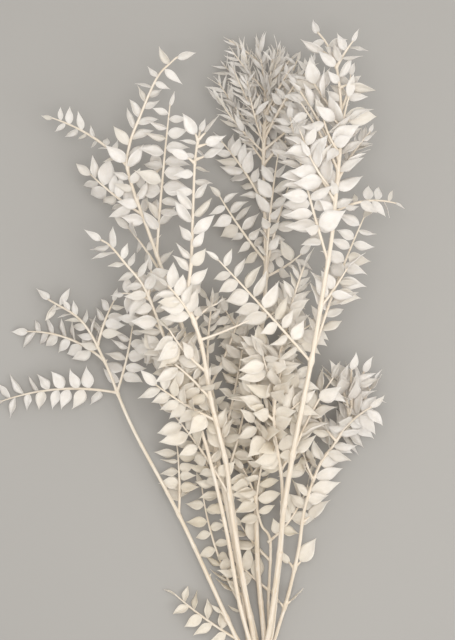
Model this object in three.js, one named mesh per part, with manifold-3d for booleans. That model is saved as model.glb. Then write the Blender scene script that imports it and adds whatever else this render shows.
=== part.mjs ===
// A tied bunch of bleached, dried ruscus, laid down on a flat surface: ten leafy stems gathered in
// one tie near their cut ends. Lengths are in millimetres and angles in degrees. The stems run
// along +Y, +Z is up, and the surface is level with the underside of the tie.

import * as THREE from "three";
import Module from "manifold-3d";

const wasm = await Module();
wasm.setup();

// Leaves
const bladeThickness = 0.7;
const widthShare = 0.52; // a leaf's width over its length
const widestAt = 0.38; // the widest place, as a share of the leaf's length
const shoulderAt = 0.72;
const shoulderShare = 0.58; // the leaf's width at the shoulder, as a share of its greatest width
const archDraw = [0.02, 0.2]; // how far the tip bends back, as a share of the leaf's length
const tipSink = 2.5; // how deep the last leaf is rooted in the end of its twig
const lengthDraw = [0.76, 1.18]; // from leaf to leaf
const widthDraw = [0.82, 1.16];
const youngest = 0.28; // how much smaller the last leaves are, and narrower for their length
const placeDraw = [-0.3, 0.3]; // how far a leaf is moved along its wood, in gaps between leaves
const twigTurn = [-22, 22]; // of the plane that a twig's leaves lie in
const lastSpread = [4, 14]; // between a twig and its last leaf

// The forms that a stem or twig may have. size and slim are the shares of a plain leaf's length and
// width. The leaves are turned round their twig, spread from it, lifted from its plane and rolled.
const forms = {
  plain: { size: 1, slim: 1, turn: [-26, 26], spread: [42, 92], lift: [-25, 25], roll: [-54, 54] },
  small: { size: 0.66, slim: 0.84, turn: [-60, 60], spread: [30, 92], lift: [-30, 30], roll: [-60, 60] },
  bushy: { size: 1, slim: 1, turn: [-66, 66], spread: [26, 98], lift: [-36, 36], roll: [-48, 48] },
  narrow: { size: 0.62, slim: 0.5, turn: [-88, 88], spread: [18, 56], lift: [-22, 22], roll: [-70, 70] },
};

// Wood
const stemTip = 1; // radii
const twigRoot = 1.5;
const twigTip = 1.1;
const fineTwig = 0.7; // the thickness of a twig with narrow leaves, as a share of another's
const stemSides = 5;
const twigSides = 3;
const buttSpread = 1.2; // how far the stems fan out below the tie
const chordError = 1.4; // how far a twig's straight stretches may leave its curve
const stemStep = 30; // the length of one straight stretch of a stem
const riseDraw = [-0.02, 0.06]; // how far up a twig bows, as a share of its length
const bareTwig = 0.13; // the leafless share of a twig, next to the stem

const shortestEdge = 0.01; // left in a fused solid

// Tie
const tieWidth = 9;
const tieThickness = 1.6;
const tieGap = 0.7;
const tieCorners = 12; // round each stem
const tieSole = 0.3; // how far the tie is flattened where it rests

// Room kept clear between a leaf and what is near it
const leafRoom = 1.6;
const woodRoom = 1.0;
const surfaceRoom = 0.7;
const ownRoom = 4; // a leaf may be near its own stem's wood this far from its foot
const ballStep = 2.5;
const stationsAlong = [0.12, 0.23, 0.34, 0.45, 0.56, 0.67, 0.78, 0.89, 1];
const stationsAcross = [-1, -0.5, 0, 0.5, 1];

// One entry for each stem. cut is the length left below the tie, slot the place in the tie, and
// line the stem's course above it. own gives the height where its own leaves begin, and how many
// it has. Each twig is [height of its root, tip x, tip y, tip z, sideways bow, leaves, form]. Where no
// form is given, it is plain.
const stems = [
  {
    name: "stem-far-left", leaf: 27, radius: 2.5, cut: 66, slot: [-10.5, 11.1],
    line: [[-26, 25, 13], [-89, 162, 22], [-144, 267, 28], [-175, 342, 32], [-201, 386, 28],
      [-240, 411, 20]],
    own: [352, 14],
    twigs: [
      [305, -295, 294, 5, -9, 15],
      [306, -143, 381, 30, -2, 11],
      [342, -266, 374, 6, -9, 12],
      [357, -163, 410, 34, 2, 9],
      [166, -94, 252, 20, -2, 13],
      [20, -97, 73, 4, 2, 9],
      [46, -44, 55, 15, 0, 1, "small"],
    ],
  },
  {
    name: "stem-low-left", leaf: 26, radius: 2.0, cut: 72, slot: [-7, 3.9],
    line: [[-13, 22, 6], [-19, 86, 13], [-27, 161, 30], [-37, 230, 42], [-50, 298, 50],
      [-61, 343, 55]],
    own: [240, 14],
    twigs: [
      [53, -65, 200, 25, 8, 15],
      [161, -68, 245, 32, 2, 10],
      [219, -15, 307, 51, -3, 12],
      [264, -95, 336, 46, 3, 12],
      [253, -17, 370, 53, -2, 14],
      [50, -23, 55, 10, 0, 1, "small"],
      [330, -52, 412, 58, 2, 11, "small"],
      [316, -22, 392, 56, -2, 10, "small"],
      [92, -29, 97, 18, 0, 1],
      [68, -22, 77, 14, 0, 1],
    ],
  },
  {
    name: "stem-front-left", leaf: 31, radius: 3.0, cut: 60, slot: [-3.5, 11.1],
    line: [[-8, 36, 18], [-17, 88, 35], [-31, 173, 58], [-37, 229, 78], [-53, 299, 104],
      [-63, 359, 122], [-77, 408, 130], [-74, 450, 128], [-72, 515, 122], [-70, 560, 117],
      [-65, 590, 112]],
    own: [396, 22],
    twigs: [
      [279, -113, 318, 108, 2, 12, "bushy"],
      [386, -46, 405, 116, 2, 3, "small"],
      [366, -13, 387, 138, -1, 0],
      [192, -98, 287, 72, -3, 13],
      [332, -98, 378, 126, 3, 15, "bushy"],
      [384, -99, 424, 138, -2, 9, "bushy"],
      [301, -98, 345, 117, -2, 14, "bushy"],
      [238, -58, 300, 92, -3, 8, "bushy"],
      [578, -70, 586, 118, 0, 1],
      [580, -59, 587, 118, 0, 1],
      [572, -58, 575, 116, 0, 1],
      [554, -78, 560, 120, 0, 1],
      [558, -60, 561, 121, 0, 1],
    ],
  },
  {
    name: "stem-upper-left", leaf: 31, radius: 2.4, cut: 70, slot: [-3.5, 17.3],
    line: [[-12, 28, 22], [-23, 71, 31], [-35, 142, 48], [-52, 222, 72], [-67, 275, 86],
      [-87, 325, 96], [-104, 369, 102], [-124, 420, 106], [-145, 447, 104], [-162, 467, 101],
      [-173, 474, 99]],
    own: [318, 26],
    twigs: [
      [376, -133, 388, 92, -3, 9, "bushy"],
      [355, -122, 356, 84, 2, 9, "bushy"],
      [409, -150, 416, 92, -2, 7],
      [317, -118, 350, 78, 1, 8, "bushy"],
      [413, -118, 442, 104, -1, 5],
      [286, -92, 330, 76, 2, 8, "bushy"],
    ],
  },
  {
    name: "stem-tall-left", leaf: 30, radius: 2.8, cut: 58, slot: [0, 4.9],
    line: [[-5, 32, 8], [-22, 104, 28], [-42, 208, 46], [-61, 298, 56], [-83, 371, 64],
      [-106, 438, 70], [-121, 480, 74], [-144, 547, 78], [-143, 578, 80], [-131, 610, 82],
      [-113, 651, 82], [-96, 670, 80], [-90, 675, 79]],
    own: [492, 24],
    twigs: [
      [553, -231, 611, 62, -7, 13, "small"],
      [459, -98, 621, 92, 1, 20],
      [503, -188, 549, 60, 2, 11],
      [426, -146, 490, 56, -2, 7],
      [520, -104, 560, 62, 2, 4],
    ],
  },
  {
    name: "stem-middle", leaf: 25, radius: 3.0, cut: 75, slot: [3.5, 11.1],
    line: [[6, 24, 11], [-1, 102, 15], [-3, 185, 20], [-1, 263, 25], [1, 353, 29], [7, 421, 31],
      [7, 477, 32], [5, 569, 33], [7, 634, 32], [3, 672, 31], [-14, 690, 28], [-34, 704, 26]],
    own: [596, 44, "narrow"],
    twigs: [
      [438, 21, 574, 48, 2, 15],
      [440, 34, 540, 22, 2, 13],
      [453, -45, 527, 39, 2, 13],
      [515, -43, 590, 25, -3, 14],
      [436, 48, 462, 30, -2, 7],
      [590, -46, 655, 38, 3, 40, "narrow"],
      [615, -40, 680, 5, -2, 40, "narrow"],
      [626, 21, 690, 44, 1, 34, "narrow"],
      [615, 43, 680, 36, -2, 18, "small"],
      [607, 55, 660, 7, -3, 13, "bushy"],
      [579, 52, 621, 53, -2, 14, "bushy"],
      [562, 42, 597, 41, 2, 13, "bushy"],
      [387, 41, 422, 20, -3, 12],
      [308, 53, 370, 16, 3, 12],
      [297, -28, 357, 16, 2, 12],
      [228, 42, 290, 20, -3, 11],
      [205, -24, 267, 29, 2, 10],
      [664, -1, 698, 34, 0, 21, "narrow"],
      [602, -30, 668, 58, 2, 38, "narrow"],
      [638, 14, 676, 62, -1, 22, "narrow"],
      [566, -34, 634, 30, 3, 34, "narrow"],
      [584, -14, 652, 62, 2, 35, "narrow"],
      [596, 30, 652, 20, -2, 30, "narrow"],
      [646, -30, 686, 52, 1, 22, "narrow"],
      [604, 26, 676, 18, 2, 32, "narrow"],
      [576, -50, 640, 52, 3, 34, "narrow"],
      [620, -18, 694, 50, 2, 30, "narrow"],
      [632, 22, 682, 62, 1, 23, "narrow"],
      [334, -60, 414, 20, 3, 13],
      [318, -38, 398, 42, -3, 12],
      [600, 60, 678, 44, -2, 15, "small"],
      [590, 46, 658, 66, 2, 15, "small"],
      [618, 33, 664, 58, 1, 12, "small"],
      [640, 38, 684, 30, 2, 12, "small"],
    ],
  },
  {
    name: "stem-front-right", leaf: 31, radius: 3.2, cut: 63, slot: [3.5, 18.2],
    line: [[12, 36, 22], [22, 124, 48], [26, 176, 68], [36, 248, 94], [47, 308, 110], [57, 363, 120],
      [67, 427, 126], [74, 470, 128], [77, 501, 128], [84, 573, 124], [85, 610, 122], [82, 648, 118],
      [76, 670, 115], [69, 685, 111], [61, 696, 107]],
    own: [478, 26],
    twigs: [
      [342, -46, 451, 135, -1, 17],
      [345, 112, 499, 98, 3, 20],
      [401, 92, 443, 119, -1, 6],
      [449, 31, 604, 114, 2, 28, "bushy"],
      [532, 118, 590, 104, 3, 15, "small"],
      [501, 146, 513, 100, 7, 10, "small"],
      [564, 65, 603, 133, 3, 11, "bushy"],
      [599, 50, 655, 104, 2, 11, "bushy"],
      [610, 96, 650, 112, -2, 6, "small"],
      [241, 79, 325, 92, 3, 9],
      [655, 98, 684, 121, 1, 5, "small"],
      [583, 93, 624, 128, 1, 3],
      [520, 50, 560, 140, 2, 9, "bushy"],
      [512, 40, 588, 134, 2, 13, "bushy"],
      [545, 42, 618, 122, -2, 13, "bushy"],
      [556, 36, 640, 116, -2, 12, "bushy"],
      [666, 66, 673, 120, 0, 1],
      [634, 92, 637, 125, 0, 1],
      [592, 77, 599, 130, 0, 1],
      [596, 94, 599, 129, 0, 1],
    ],
  },
  {
    name: "stem-inner-right", leaf: 31, radius: 2.2, cut: 71, slot: [10.5, 11.1],
    line: [[16, 35, 14], [20, 81, 27], [25, 141, 46], [24, 210, 70], [16, 260, 86], [15, 300, 94],
      [17, 333, 98], [27, 373, 100], [32, 398, 100], [39, 422, 98], [47, 445, 94]],
    own: [222, 48, "bushy"],
    twigs: [
      [278, -11, 310, 95, 2, 11, "bushy"],
      [300, 40, 325, 90, -2, 10, "bushy"],
      [244, -7, 278, 92, 1, 11, "bushy"],
      [331, -5, 360, 102, -2, 11, "bushy"],
      [355, 58, 384, 84, 2, 9],
      [222, 46, 264, 69, -1, 9, "bushy"],
      [268, 44, 300, 104, 2, 10, "bushy"],
      [312, 2, 350, 114, 1, 9, "bushy"],
      [290, 22, 334, 116, 1, 9, "bushy"],
    ],
  },
  {
    name: "stem-low-right", leaf: 31, radius: 2.2, cut: 64, slot: [14, 4.3],
    line: [[21, 30, 8], [34, 75, 14], [45, 127, 22], [52, 176, 28], [68, 224, 34], [85, 250, 44],
      [98, 277, 52], [107, 308, 56], [116, 330, 56]],
    own: [172, 24],
    twigs: [
      [235, 124, 286, 5, 2, 12, "bushy"],
      [252, 60, 293, 48, 3, 11, "bushy"],
      [268, 128, 316, 38, -2, 11, "bushy"],
      [207, 48, 246, 40, 2, 8],
      [282, 84, 326, 72, -2, 10, "bushy"],
      [262, 122, 292, 76, 2, 9, "bushy"],
      [292, 100, 334, 80, 1, 8, "bushy"],
      [62, 37, 67, 14, 0, 1, "small"],
      [106, 48, 113, 20, 0, 1],
      [158, 57, 165, 28, 0, 1],
      [104, 34, 112, 18, 0, 1, "small"],
      [58, 24, 65, 12, 0, 1, "small"],
    ],
  },
  {
    name: "stem-short-middle", leaf: 28, radius: 1.8, cut: 68, slot: [7, 3.9],
    line: [[11, 32, 5], [11, 66, 8], [13, 134, 17], [3, 154, 22], [-3, 178, 28], [-1, 202, 33],
      [5, 236, 38], [10, 264, 42]],
    own: [160, 14],
    twigs: [
      [135, 56, 200, 16, -6, 9],
      [178, -19, 221, 38, -2, 9],
      [113, -21, 153, 4, 2, 7],
      [78, -25, 110, 5, 1, 6],
    ],
  },
];

const vector = (x, y, z) => new THREE.Vector3(x, y, z);
const radians = THREE.MathUtils.degToRad;
const { lerp, clamp } = THREE.MathUtils;

// Random draws for one leaf or twig, which depend on its number alone.
function drawsFor(number) {
  let state = (number * 7919 + 104729) % 2147483647;
  const next = () => (state = (state * 16807) % 2147483647) / 2147483647;
  next();
  next();
  return (low, high) => low + (high - low) * next();
}

// The place along a curve, from 0 to 1, where it has reached a height.
function shareAtHeight(curve, height) {
  let [low, high] = [0, 1];
  for (let i = 0; i < 40; i++) {
    const middle = (low + high) / 2;
    if (curve.getPointAt(middle).y < height) low = middle;
    else high = middle;
  }
  return (low + high) / 2;
}

// Wood that runs straight between some stations along a curve, and tapers from end to end.
function woodAlong(curve, stations, thick, thin, rest) {
  const places = stations.map((u) => curve.getPointAt(u));
  const radiusAt = (u) => lerp(thick, thin, u * u);
  const pointAt = (u) => {
    const k = clamp(stations.findIndex((station) => station >= u), 1, stations.length - 1);
    const share = (u - stations[k - 1]) / (stations[k] - stations[k - 1]);
    return places[k - 1].clone().lerp(places[k], share);
  };
  return { curve, stations, radiusAt, pointAt, ...rest };
}

// A stem's wood, from its cut end through the tie, where it is straight.
function stemWood(stem, index) {
  const [x, z] = stem.slot;
  const line = stem.line.map((p) => vector(...p));
  const points = [vector(x * buttSpread, -stem.cut, z), vector(x, 0, z), ...line];
  const curve = new THREE.CatmullRomCurve3(points, false, "catmullrom", 0.5);
  const [height, leaves, form = "plain"] = stem.own;
  const [low, high] = [-1, 1].map((side) => shareAtHeight(curve, side * (tieWidth / 2 + 1)));
  const steps = Math.ceil((curve.getLength() * (1 - high)) / stemStep);
  const above = Array.from({ length: steps + 1 }, (_, i) => lerp(high, 1, i / steps));
  return woodAlong(curve, [0, low, ...above], stem.radius, stemTip, {
    stem: index, number: index * 10000, sides: stemSides, from: shareAtHeight(curve, height), leaves,
    leaf: stem.leaf, form,
  });
}

// A twig's wood: it leaves the stem's middle and bows to one side on its way to its tip.
function twigWood(stem, parent, index, twigIndex) {
  const [height, x, y, z, bow, leaves, form = "plain"] = stem.twigs[twigIndex];
  const number = index * 10000 + (twigIndex + 1) * 100;
  const root = parent.pointAt(shareAtHeight(parent.curve, height));
  const tip = vector(x, y, z);
  const sideways = vector(root.y - tip.y, tip.x - root.x, 0).normalize();
  const bend = root.clone().lerp(tip, 0.5).addScaledVector(sideways, 2 * bow);
  const rise = root.distanceTo(tip) * drawsFor(number)(...riseDraw);
  bend.z += rise;
  const steps = Math.ceil(Math.sqrt((Math.abs(bow) + Math.abs(rise) / 2) / chordError));
  const stations = Array.from({ length: steps + 1 }, (_, i) => i / steps);
  const curve = new THREE.QuadraticBezierCurve3(root, bend, tip);
  const fineness = form === "narrow" ? fineTwig : 1;
  return woodAlong(curve, stations, twigRoot * fineness, twigTip * fineness, {
    stem: index, number, sides: twigSides, from: bareTwig, leaves, leaf: stem.leaf, form,
  });
}

// How far a leaf's edge is from its midrib, as a share of half its width.
function edgeShare(t) {
  if (t < widestAt) return lerp(0.1, 1, t / widestAt);
  if (t < shoulderAt) return lerp(1, shoulderShare, (t - widestAt) / (shoulderAt - widestAt));
  return lerp(shoulderShare, 0, (t - shoulderAt) / (1 - shoulderAt));
}

// A leaf as drawn by its number, then rolled about its midrib, raised, and drawn in by some degrees.
function leafOn(wood, index, [turn, lift, close]) {
  const form = forms[wood.form];
  const draw = drawsFor(wood.number + index + 1);
  const last = index === wood.leaves - 1;
  const place = (index + 0.5 + draw(...placeDraw)) / wood.leaves;
  const u = last ? 1 - tipSink / wood.curve.getLength() : lerp(wood.from, 1, place);
  const ahead = wood.curve.getTangentAt(u);
  const tilt = radians(drawsFor(wood.number)(...twigTurn) + draw(...form.turn));
  const up = vector(0, 0, 1).addScaledVector(ahead, -ahead.z).normalize().applyAxisAngle(ahead, tilt);
  const out = ahead.clone().cross(up).multiplyScalar(index % 2 ? 1 : -1);
  const spread = radians(draw(...(last ? lastSpread : form.spread)) - close);
  const raised = radians(draw(...form.lift) + lift);
  const along = ahead.clone().multiplyScalar(Math.cos(spread))
    .addScaledVector(out, Math.cos(raised) * Math.sin(spread))
    .addScaledVector(up, Math.sin(raised) * Math.sin(spread)).normalize();
  const roll = radians(draw(...form.roll) + turn);
  const normal = up.clone().addScaledVector(along, -up.dot(along)).normalize().applyAxisAngle(along, roll);
  const across = normal.clone().cross(along);
  const youth = 1 - youngest * clamp((u - 0.7) / 0.3, 0, 1);
  const length = wood.leaf * form.size * draw(...lengthDraw) * youth;
  const width = length * widthShare * form.slim * draw(...widthDraw) * youth;
  const foot = wood.pointAt(u);
  const leaf = { wood, foot, along, across, normal, length, width, arch: draw(...archDraw) };
  leaf.points = stationsAlong.flatMap((t) => stationsAcross.map((s) => leafPoint(leaf, t, s)));
  leaf.middle = leafPoint(leaf, 0.5, 0);
  return leaf;
}

// The leaf's middle surface: t runs from its foot to its tip and s from edge to edge.
function leafPoint(leaf, t, s) {
  return leaf.foot.clone()
    .addScaledVector(leaf.along, t * leaf.length)
    .addScaledVector(leaf.across, (s * leaf.width * edgeShare(t)) / 2)
    .addScaledVector(leaf.normal, -leaf.arch * leaf.length * t * t);
}

// Whether a ball comes within room of a leaf, tried only from some distance from its foot.
function nearLeaf(leaf, centre, radius, room, from) {
  const offset = centre.clone().sub(leaf.foot);
  const along = offset.dot(leaf.along);
  if (along < from || along > leaf.length + room + radius) return false;
  const t = clamp(along / leaf.length, 0, 1);
  const edge = (leaf.width * edgeShare(t)) / 2 + room * 0.6 + radius;
  if (Math.abs(offset.dot(leaf.across)) > edge) return false;
  const off = offset.dot(leaf.normal) + leaf.arch * leaf.length * t * t;
  return Math.abs(off) < room + radius;
}

const woods = stems.flatMap((stem, index) => {
  const parent = stemWood(stem, index);
  return [parent, ...stem.twigs.map((_, twigIndex) => twigWood(stem, parent, index, twigIndex))];
});

// Balls along all the wood, which stand for it when leaves are placed.
const balls = woods.flatMap((wood) => {
  const count = Math.ceil(wood.curve.getLength() / ballStep);
  return Array.from({ length: count + 1 }, (_, i) => ({
    centre: wood.pointAt(i / count), radius: wood.radiusAt(i / count), stem: wood.stem,
  }));
});

const leaves = [];

// Whether a leaf is clear of the surface, of all wood, and of the leaves already placed.
function isClear(leaf) {
  if (leaf.points.some((p) => p.z < surfaceRoom)) return false;
  for (const { centre, radius, stem } of balls) {
    if (centre.distanceTo(leaf.middle) > leaf.length) continue;
    const from = stem === leaf.wood.stem ? ownRoom : -woodRoom;
    if (nearLeaf(leaf, centre, radius, woodRoom, from)) return false;
  }
  for (const other of leaves) {
    if (other.middle.distanceTo(leaf.middle) > leaf.length + other.length / 2) continue;
    if (leaf.points.some((p) => nearLeaf(other, p, 0, leafRoom, 0))) return false;
    if (other.points.some((p) => nearLeaf(leaf, p, 0, leafRoom, 0))) return false;
  }
  return true;
}

// The ways in which a leaf may be bent clear, tried in turn: rolled, raised, and drawn in.
const bends = [[0, 0, 0], [24, 0, 0], [-24, 0, 0], [0, 22, 0], [0, -22, 0], [40, 18, 6], [-40, -18, 6],
  [30, -30, 10], [-30, 30, 10], [60, 0, 14], [-60, 0, 14], [0, 45, 10], [0, -45, 10], [80, 10, 22],
  [-80, -10, 22]];

// A leaf that is clear of everything, or nothing where there is no room for it.
function clearLeaf(wood, index) {
  for (const bend of bends) {
    const leaf = leafOn(wood, index, bend);
    if (isClear(leaf)) return leaf;
  }
  return null;
}

// Whether a leaf is one of those that are modelled: the last one of each twig, and of the others one
// in eight, or one in twenty-four of the narrow ones.
function isModelled(wood, index) {
  return index === wood.leaves - 1 || index % (wood.form === "narrow" ? 24 : 8) === 2;
}

for (const wood of woods) {
  for (let index = 0; index < wood.leaves; index++) {
    const leaf = isModelled(wood, index) && clearLeaf(wood, index);
    if (leaf) leaves.push(leaf);
  }
}

// A closed solid from rings of points, each ring with the same number of points.
function solidFromRings(rings) {
  const sides = rings[0].length;
  const positions = rings.flat().flatMap((p) => [p.x, p.y, p.z]);
  const triangles = [];
  for (let k = 1; k < rings.length; k++) {
    for (let i = 0; i < sides; i++) {
      const [a, b] = [(k - 1) * sides + i, (k - 1) * sides + ((i + 1) % sides)];
      triangles.push(a, b, b + sides, a, b + sides, a + sides);
    }
  }
  const end = (rings.length - 1) * sides;
  for (let i = 1; i < sides - 1; i++) {
    triangles.push(0, i + 1, i, end, end + i, end + i + 1);
  }
  return new wasm.Manifold(new wasm.Mesh({
    numProp: 3, vertProperties: new Float32Array(positions), triVerts: new Uint32Array(triangles),
  }));
}

function woodSolid(wood) {
  return solidFromRings(wood.stations.map((u) => {
    const centre = wood.curve.getPointAt(u);
    const ahead = wood.curve.getTangentAt(u);
    const up = vector(0, 0, 1).addScaledVector(ahead, -ahead.z).normalize();
    const side = ahead.clone().cross(up);
    return Array.from({ length: wood.sides }, (_, i) => {
      const angle = 2 * Math.PI * (i / wood.sides + 0.25);
      return centre.clone().addScaledVector(side, wood.radiusAt(u) * Math.cos(angle))
        .addScaledVector(up, -wood.radiusAt(u) * Math.sin(angle));
    });
  }));
}

// A blade of even thickness over the leaf's middle surface, pointed at its tip.
function leafSolid(leaf) {
  const half = leaf.normal.clone().multiplyScalar(bladeThickness / 2);
  const [right, left] = [-1, 1].map((side) => [widestAt, shoulderAt].map((t) => leafPoint(leaf, t, side)));
  const outline = [leafPoint(leaf, 0, 0), ...right, leafPoint(leaf, 1, 0), ...left.reverse()];
  const top = outline.map((p) => p.clone().add(half));
  const bottom = outline.map((p) => p.clone().sub(half));
  const count = outline.length;
  const positions = [...top, ...bottom].flatMap((p) => [p.x, p.y, p.z]);
  const triangles = [];
  for (let i = 0; i < count; i++) {
    const next = (i + 1) % count;
    triangles.push(i, i + count, next + count, i, next + count, next);
  }
  for (const [a, b, c] of [[0, 1, 5], [1, 2, 4], [1, 4, 5], [2, 3, 4]]) {
    triangles.push(a, b, c, a + count, c + count, b + count);
  }
  return new wasm.Manifold(new wasm.Mesh({
    numProp: 3, vertProperties: new Float32Array(positions), triVerts: new Uint32Array(triangles),
  }));
}

// Finds the group that a thing belongs to, when things are linked in pairs.
function groupFinder(pairs) {
  const leader = new Map();
  const find = (thing) => {
    while (leader.has(thing)) thing = leader.get(thing);
    return thing;
  };
  for (const pair of pairs) {
    const [first, second] = pair.map(find);
    if (first !== second) leader.set(second, first);
  }
  return find;
}

const sidesOf = ([a, b, c]) => [[a, b], [b, c], [c, a]];

// The faces of a mesh once the ends of its very short edges are joined.
function withoutSlivers(points, faces) {
  const short = faces.flatMap(sidesOf).filter(([a, b]) => points[a].distanceTo(points[b]) < shortestEdge);
  const find = groupFinder(short);
  const open = faces.map((face) => face.map(find)).filter((face) => new Set(face).size === 3);
  const key = (face) => [...face].sort((a, b) => a - b).join();
  const uses = new Map();
  open.forEach((face) => uses.set(key(face), (uses.get(key(face)) ?? 0) + 1));
  return open.filter((face) => uses.get(key(face)) === 1);
}

// The faces of the largest shell. What is left out fills the small hollows between leaves.
function outerShell(faces) {
  const find = groupFinder(faces.flatMap(sidesOf));
  const shells = new Map();
  for (const face of faces) {
    const shell = find(face[0]);
    if (!shells.has(shell)) shells.set(shell, []);
    shells.get(shell).push(face);
  }
  return [...shells.values()].reduce((most, shell) => (shell.length > most.length ? shell : most));
}

function geometryOf(solid) {
  const { vertProperties, triVerts } = solid.getMesh();
  const points = Array.from({ length: vertProperties.length / 3 }, (_, i) => {
    return new THREE.Vector3().fromArray(vertProperties, 3 * i);
  });
  const faces = Array.from({ length: triVerts.length / 3 }, (_, i) => [...triVerts.slice(3 * i, 3 * i + 3)]);
  const geometry = new THREE.BufferGeometry().setFromPoints(points);
  geometry.setIndex(outerShell(withoutSlivers(points, outerShell(faces))).flat());
  return geometry;
}

// One stem with its twigs and leaves, grown as one piece.
function leafyStem(index) {
  const pieces = [
    ...woods.filter((wood) => wood.stem === index).map(woodSolid),
    ...leaves.filter((leaf) => leaf.wood.stem === index).map(leafSolid),
  ];
  return pieces.reduce((whole, piece) => whole.add(piece));
}

// The corners of the smallest convex outline round some points, in order.
function outlineRound(points) {
  const sorted = [...points].sort((a, b) => a.x - b.x || a.y - b.y);
  const turns = (o, a, b) => (a.x - o.x) * (b.y - o.y) - (a.y - o.y) * (b.x - o.x);
  const half = (list) => {
    const chain = [];
    for (const p of list) {
      while (chain.length > 1 && turns(chain.at(-2), chain.at(-1), p) <= 1e-6) chain.pop();
      chain.push(p);
    }
    return chain.slice(0, -1);
  };
  return [...half(sorted), ...half(sorted.reverse())];
}

// The outline of the tie, at some distance outside the stems that pass through it, and flat below.
function tieOutline(distance) {
  const points = woods.filter((wood) => wood.sides === stemSides).flatMap((wood) => {
    return wood.stations.slice(1, 3).flatMap((u) => {
      const centre = wood.pointAt(u);
      const radius = wood.radiusAt(u) + distance;
      return Array.from({ length: tieCorners }, (_, i) => {
        const angle = (2 * Math.PI * i) / tieCorners;
        return new THREE.Vector2(centre.x + radius * Math.cos(angle), centre.z + radius * Math.sin(angle));
      });
    });
  });
  const sole = Math.min(...points.map((p) => p.y)) + tieSole;
  return outlineRound(points.map((p) => new THREE.Vector2(p.x, Math.max(p.y, sole))));
}

function tieGeometry() {
  const shape = new THREE.Shape(tieOutline(tieGap + tieThickness));
  shape.holes.push(new THREE.Path(tieOutline(tieGap)));
  const geometry = new THREE.ExtrudeGeometry(shape, { depth: tieWidth, bevelEnabled: false });
  geometry.rotateX(Math.PI / 2);
  geometry.translate(0, tieWidth / 2, 0);
  return geometry;
}

const bleached = new THREE.MeshStandardMaterial({ color: 0xe6dfd2, roughness: 0.7, metalness: 0 });
const twine = new THREE.MeshStandardMaterial({ color: 0xb79b72, roughness: 0.9, metalness: 0 });

const bunch = new THREE.Group();
stems.forEach((stem, index) => {
  const mesh = new THREE.Mesh(geometryOf(leafyStem(index)), bleached);
  mesh.name = stem.name;
  bunch.add(mesh);
});
const tie = new THREE.Mesh(tieGeometry(), twine);
tie.name = "tie";
bunch.add(tie);

// The origin is at the middle of the bunch's footprint, level with the surface.
const box = new THREE.Box3().setFromObject(bunch);
const middle = box.getCenter(new THREE.Vector3());
bunch.position.set(-middle.x, -middle.y, -box.min.z);

export default bunch;
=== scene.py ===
import math
from types import SimpleNamespace

import bpy
import numpy as np
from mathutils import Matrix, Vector


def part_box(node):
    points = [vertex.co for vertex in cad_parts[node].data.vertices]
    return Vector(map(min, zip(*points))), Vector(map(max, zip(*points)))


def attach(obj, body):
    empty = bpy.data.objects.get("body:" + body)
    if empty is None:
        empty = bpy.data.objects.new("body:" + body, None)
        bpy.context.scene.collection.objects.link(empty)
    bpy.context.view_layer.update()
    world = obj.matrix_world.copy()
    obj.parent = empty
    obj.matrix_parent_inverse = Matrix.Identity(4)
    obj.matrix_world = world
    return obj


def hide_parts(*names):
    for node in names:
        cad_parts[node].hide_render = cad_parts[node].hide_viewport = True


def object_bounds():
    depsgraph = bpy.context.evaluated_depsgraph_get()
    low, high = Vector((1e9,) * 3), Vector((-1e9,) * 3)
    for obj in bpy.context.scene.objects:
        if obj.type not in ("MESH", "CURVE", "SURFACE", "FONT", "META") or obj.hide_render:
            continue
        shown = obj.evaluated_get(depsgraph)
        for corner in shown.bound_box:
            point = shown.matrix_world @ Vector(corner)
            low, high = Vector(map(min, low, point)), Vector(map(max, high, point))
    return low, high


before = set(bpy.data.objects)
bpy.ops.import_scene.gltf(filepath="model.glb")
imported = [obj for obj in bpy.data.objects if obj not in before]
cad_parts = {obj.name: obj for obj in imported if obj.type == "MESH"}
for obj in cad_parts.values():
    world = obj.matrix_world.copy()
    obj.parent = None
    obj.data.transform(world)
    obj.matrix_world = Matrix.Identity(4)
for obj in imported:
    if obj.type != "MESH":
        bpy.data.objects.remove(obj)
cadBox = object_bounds()
print("frame loaded:", len(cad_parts), "nodes")

mm = 0.001  # the layout is in millimetres and degrees, as the stems are cut and tied


# A name that ends in Draw gives the lowest and the highest of random draws.
leafLayout = {
    "widthShare": 0.52,  # a leaf's width over its length
    "footShare": 0.1,  # its width at the foot, as a share of the greatest
    "widestAt": 0.38,
    "shoulderAt": 0.72,
    "shoulderShare": 0.58,
    "archDraw": (0.02, 0.2),  # how far the tip bends back, as a share of the length
    "tipSink": 2.5,  # how far before the end of its wood the last leaf stands
    "lengthDraw": (0.76, 1.18),
    "widthDraw": (0.82, 1.16),
    "youngest": 0.28,  # how much smaller the last leaves are, and narrower for their length
    "youngFrom": 0.7,  # where along its wood the leaves begin to be smaller, and over what share of it
    "youngOver": 0.3,
    "placeDraw": (-0.3, 0.3),  # how far a leaf is moved along its wood, in gaps between leaves
    "twigTurnDraw": (-22, 22),
    "lastSpreadDraw": (4, 14),
}

# The forms that a stem or twig may have. size and slim are the shares of a plain leaf's length and
# width. By random draws, the leaves are turned round their twig, spread from it, lifted from its plane
# and rolled.
forms = {
    "plain": {"size": 1, "slim": 1,
              "turn": (-26, 26), "spread": (42, 92), "lift": (-25, 25), "roll": (-54, 54)},
    "small": {"size": 0.66, "slim": 0.84,
              "turn": (-60, 60), "spread": (30, 92), "lift": (-30, 30), "roll": (-60, 60)},
    "bushy": {"size": 1, "slim": 1,
              "turn": (-66, 66), "spread": (26, 98), "lift": (-36, 36), "roll": (-48, 48)},
    "narrow": {"size": 0.62, "slim": 0.5,
               "turn": (-88, 88), "spread": (18, 56), "lift": (-22, 22), "roll": (-70, 70)},
}

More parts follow.
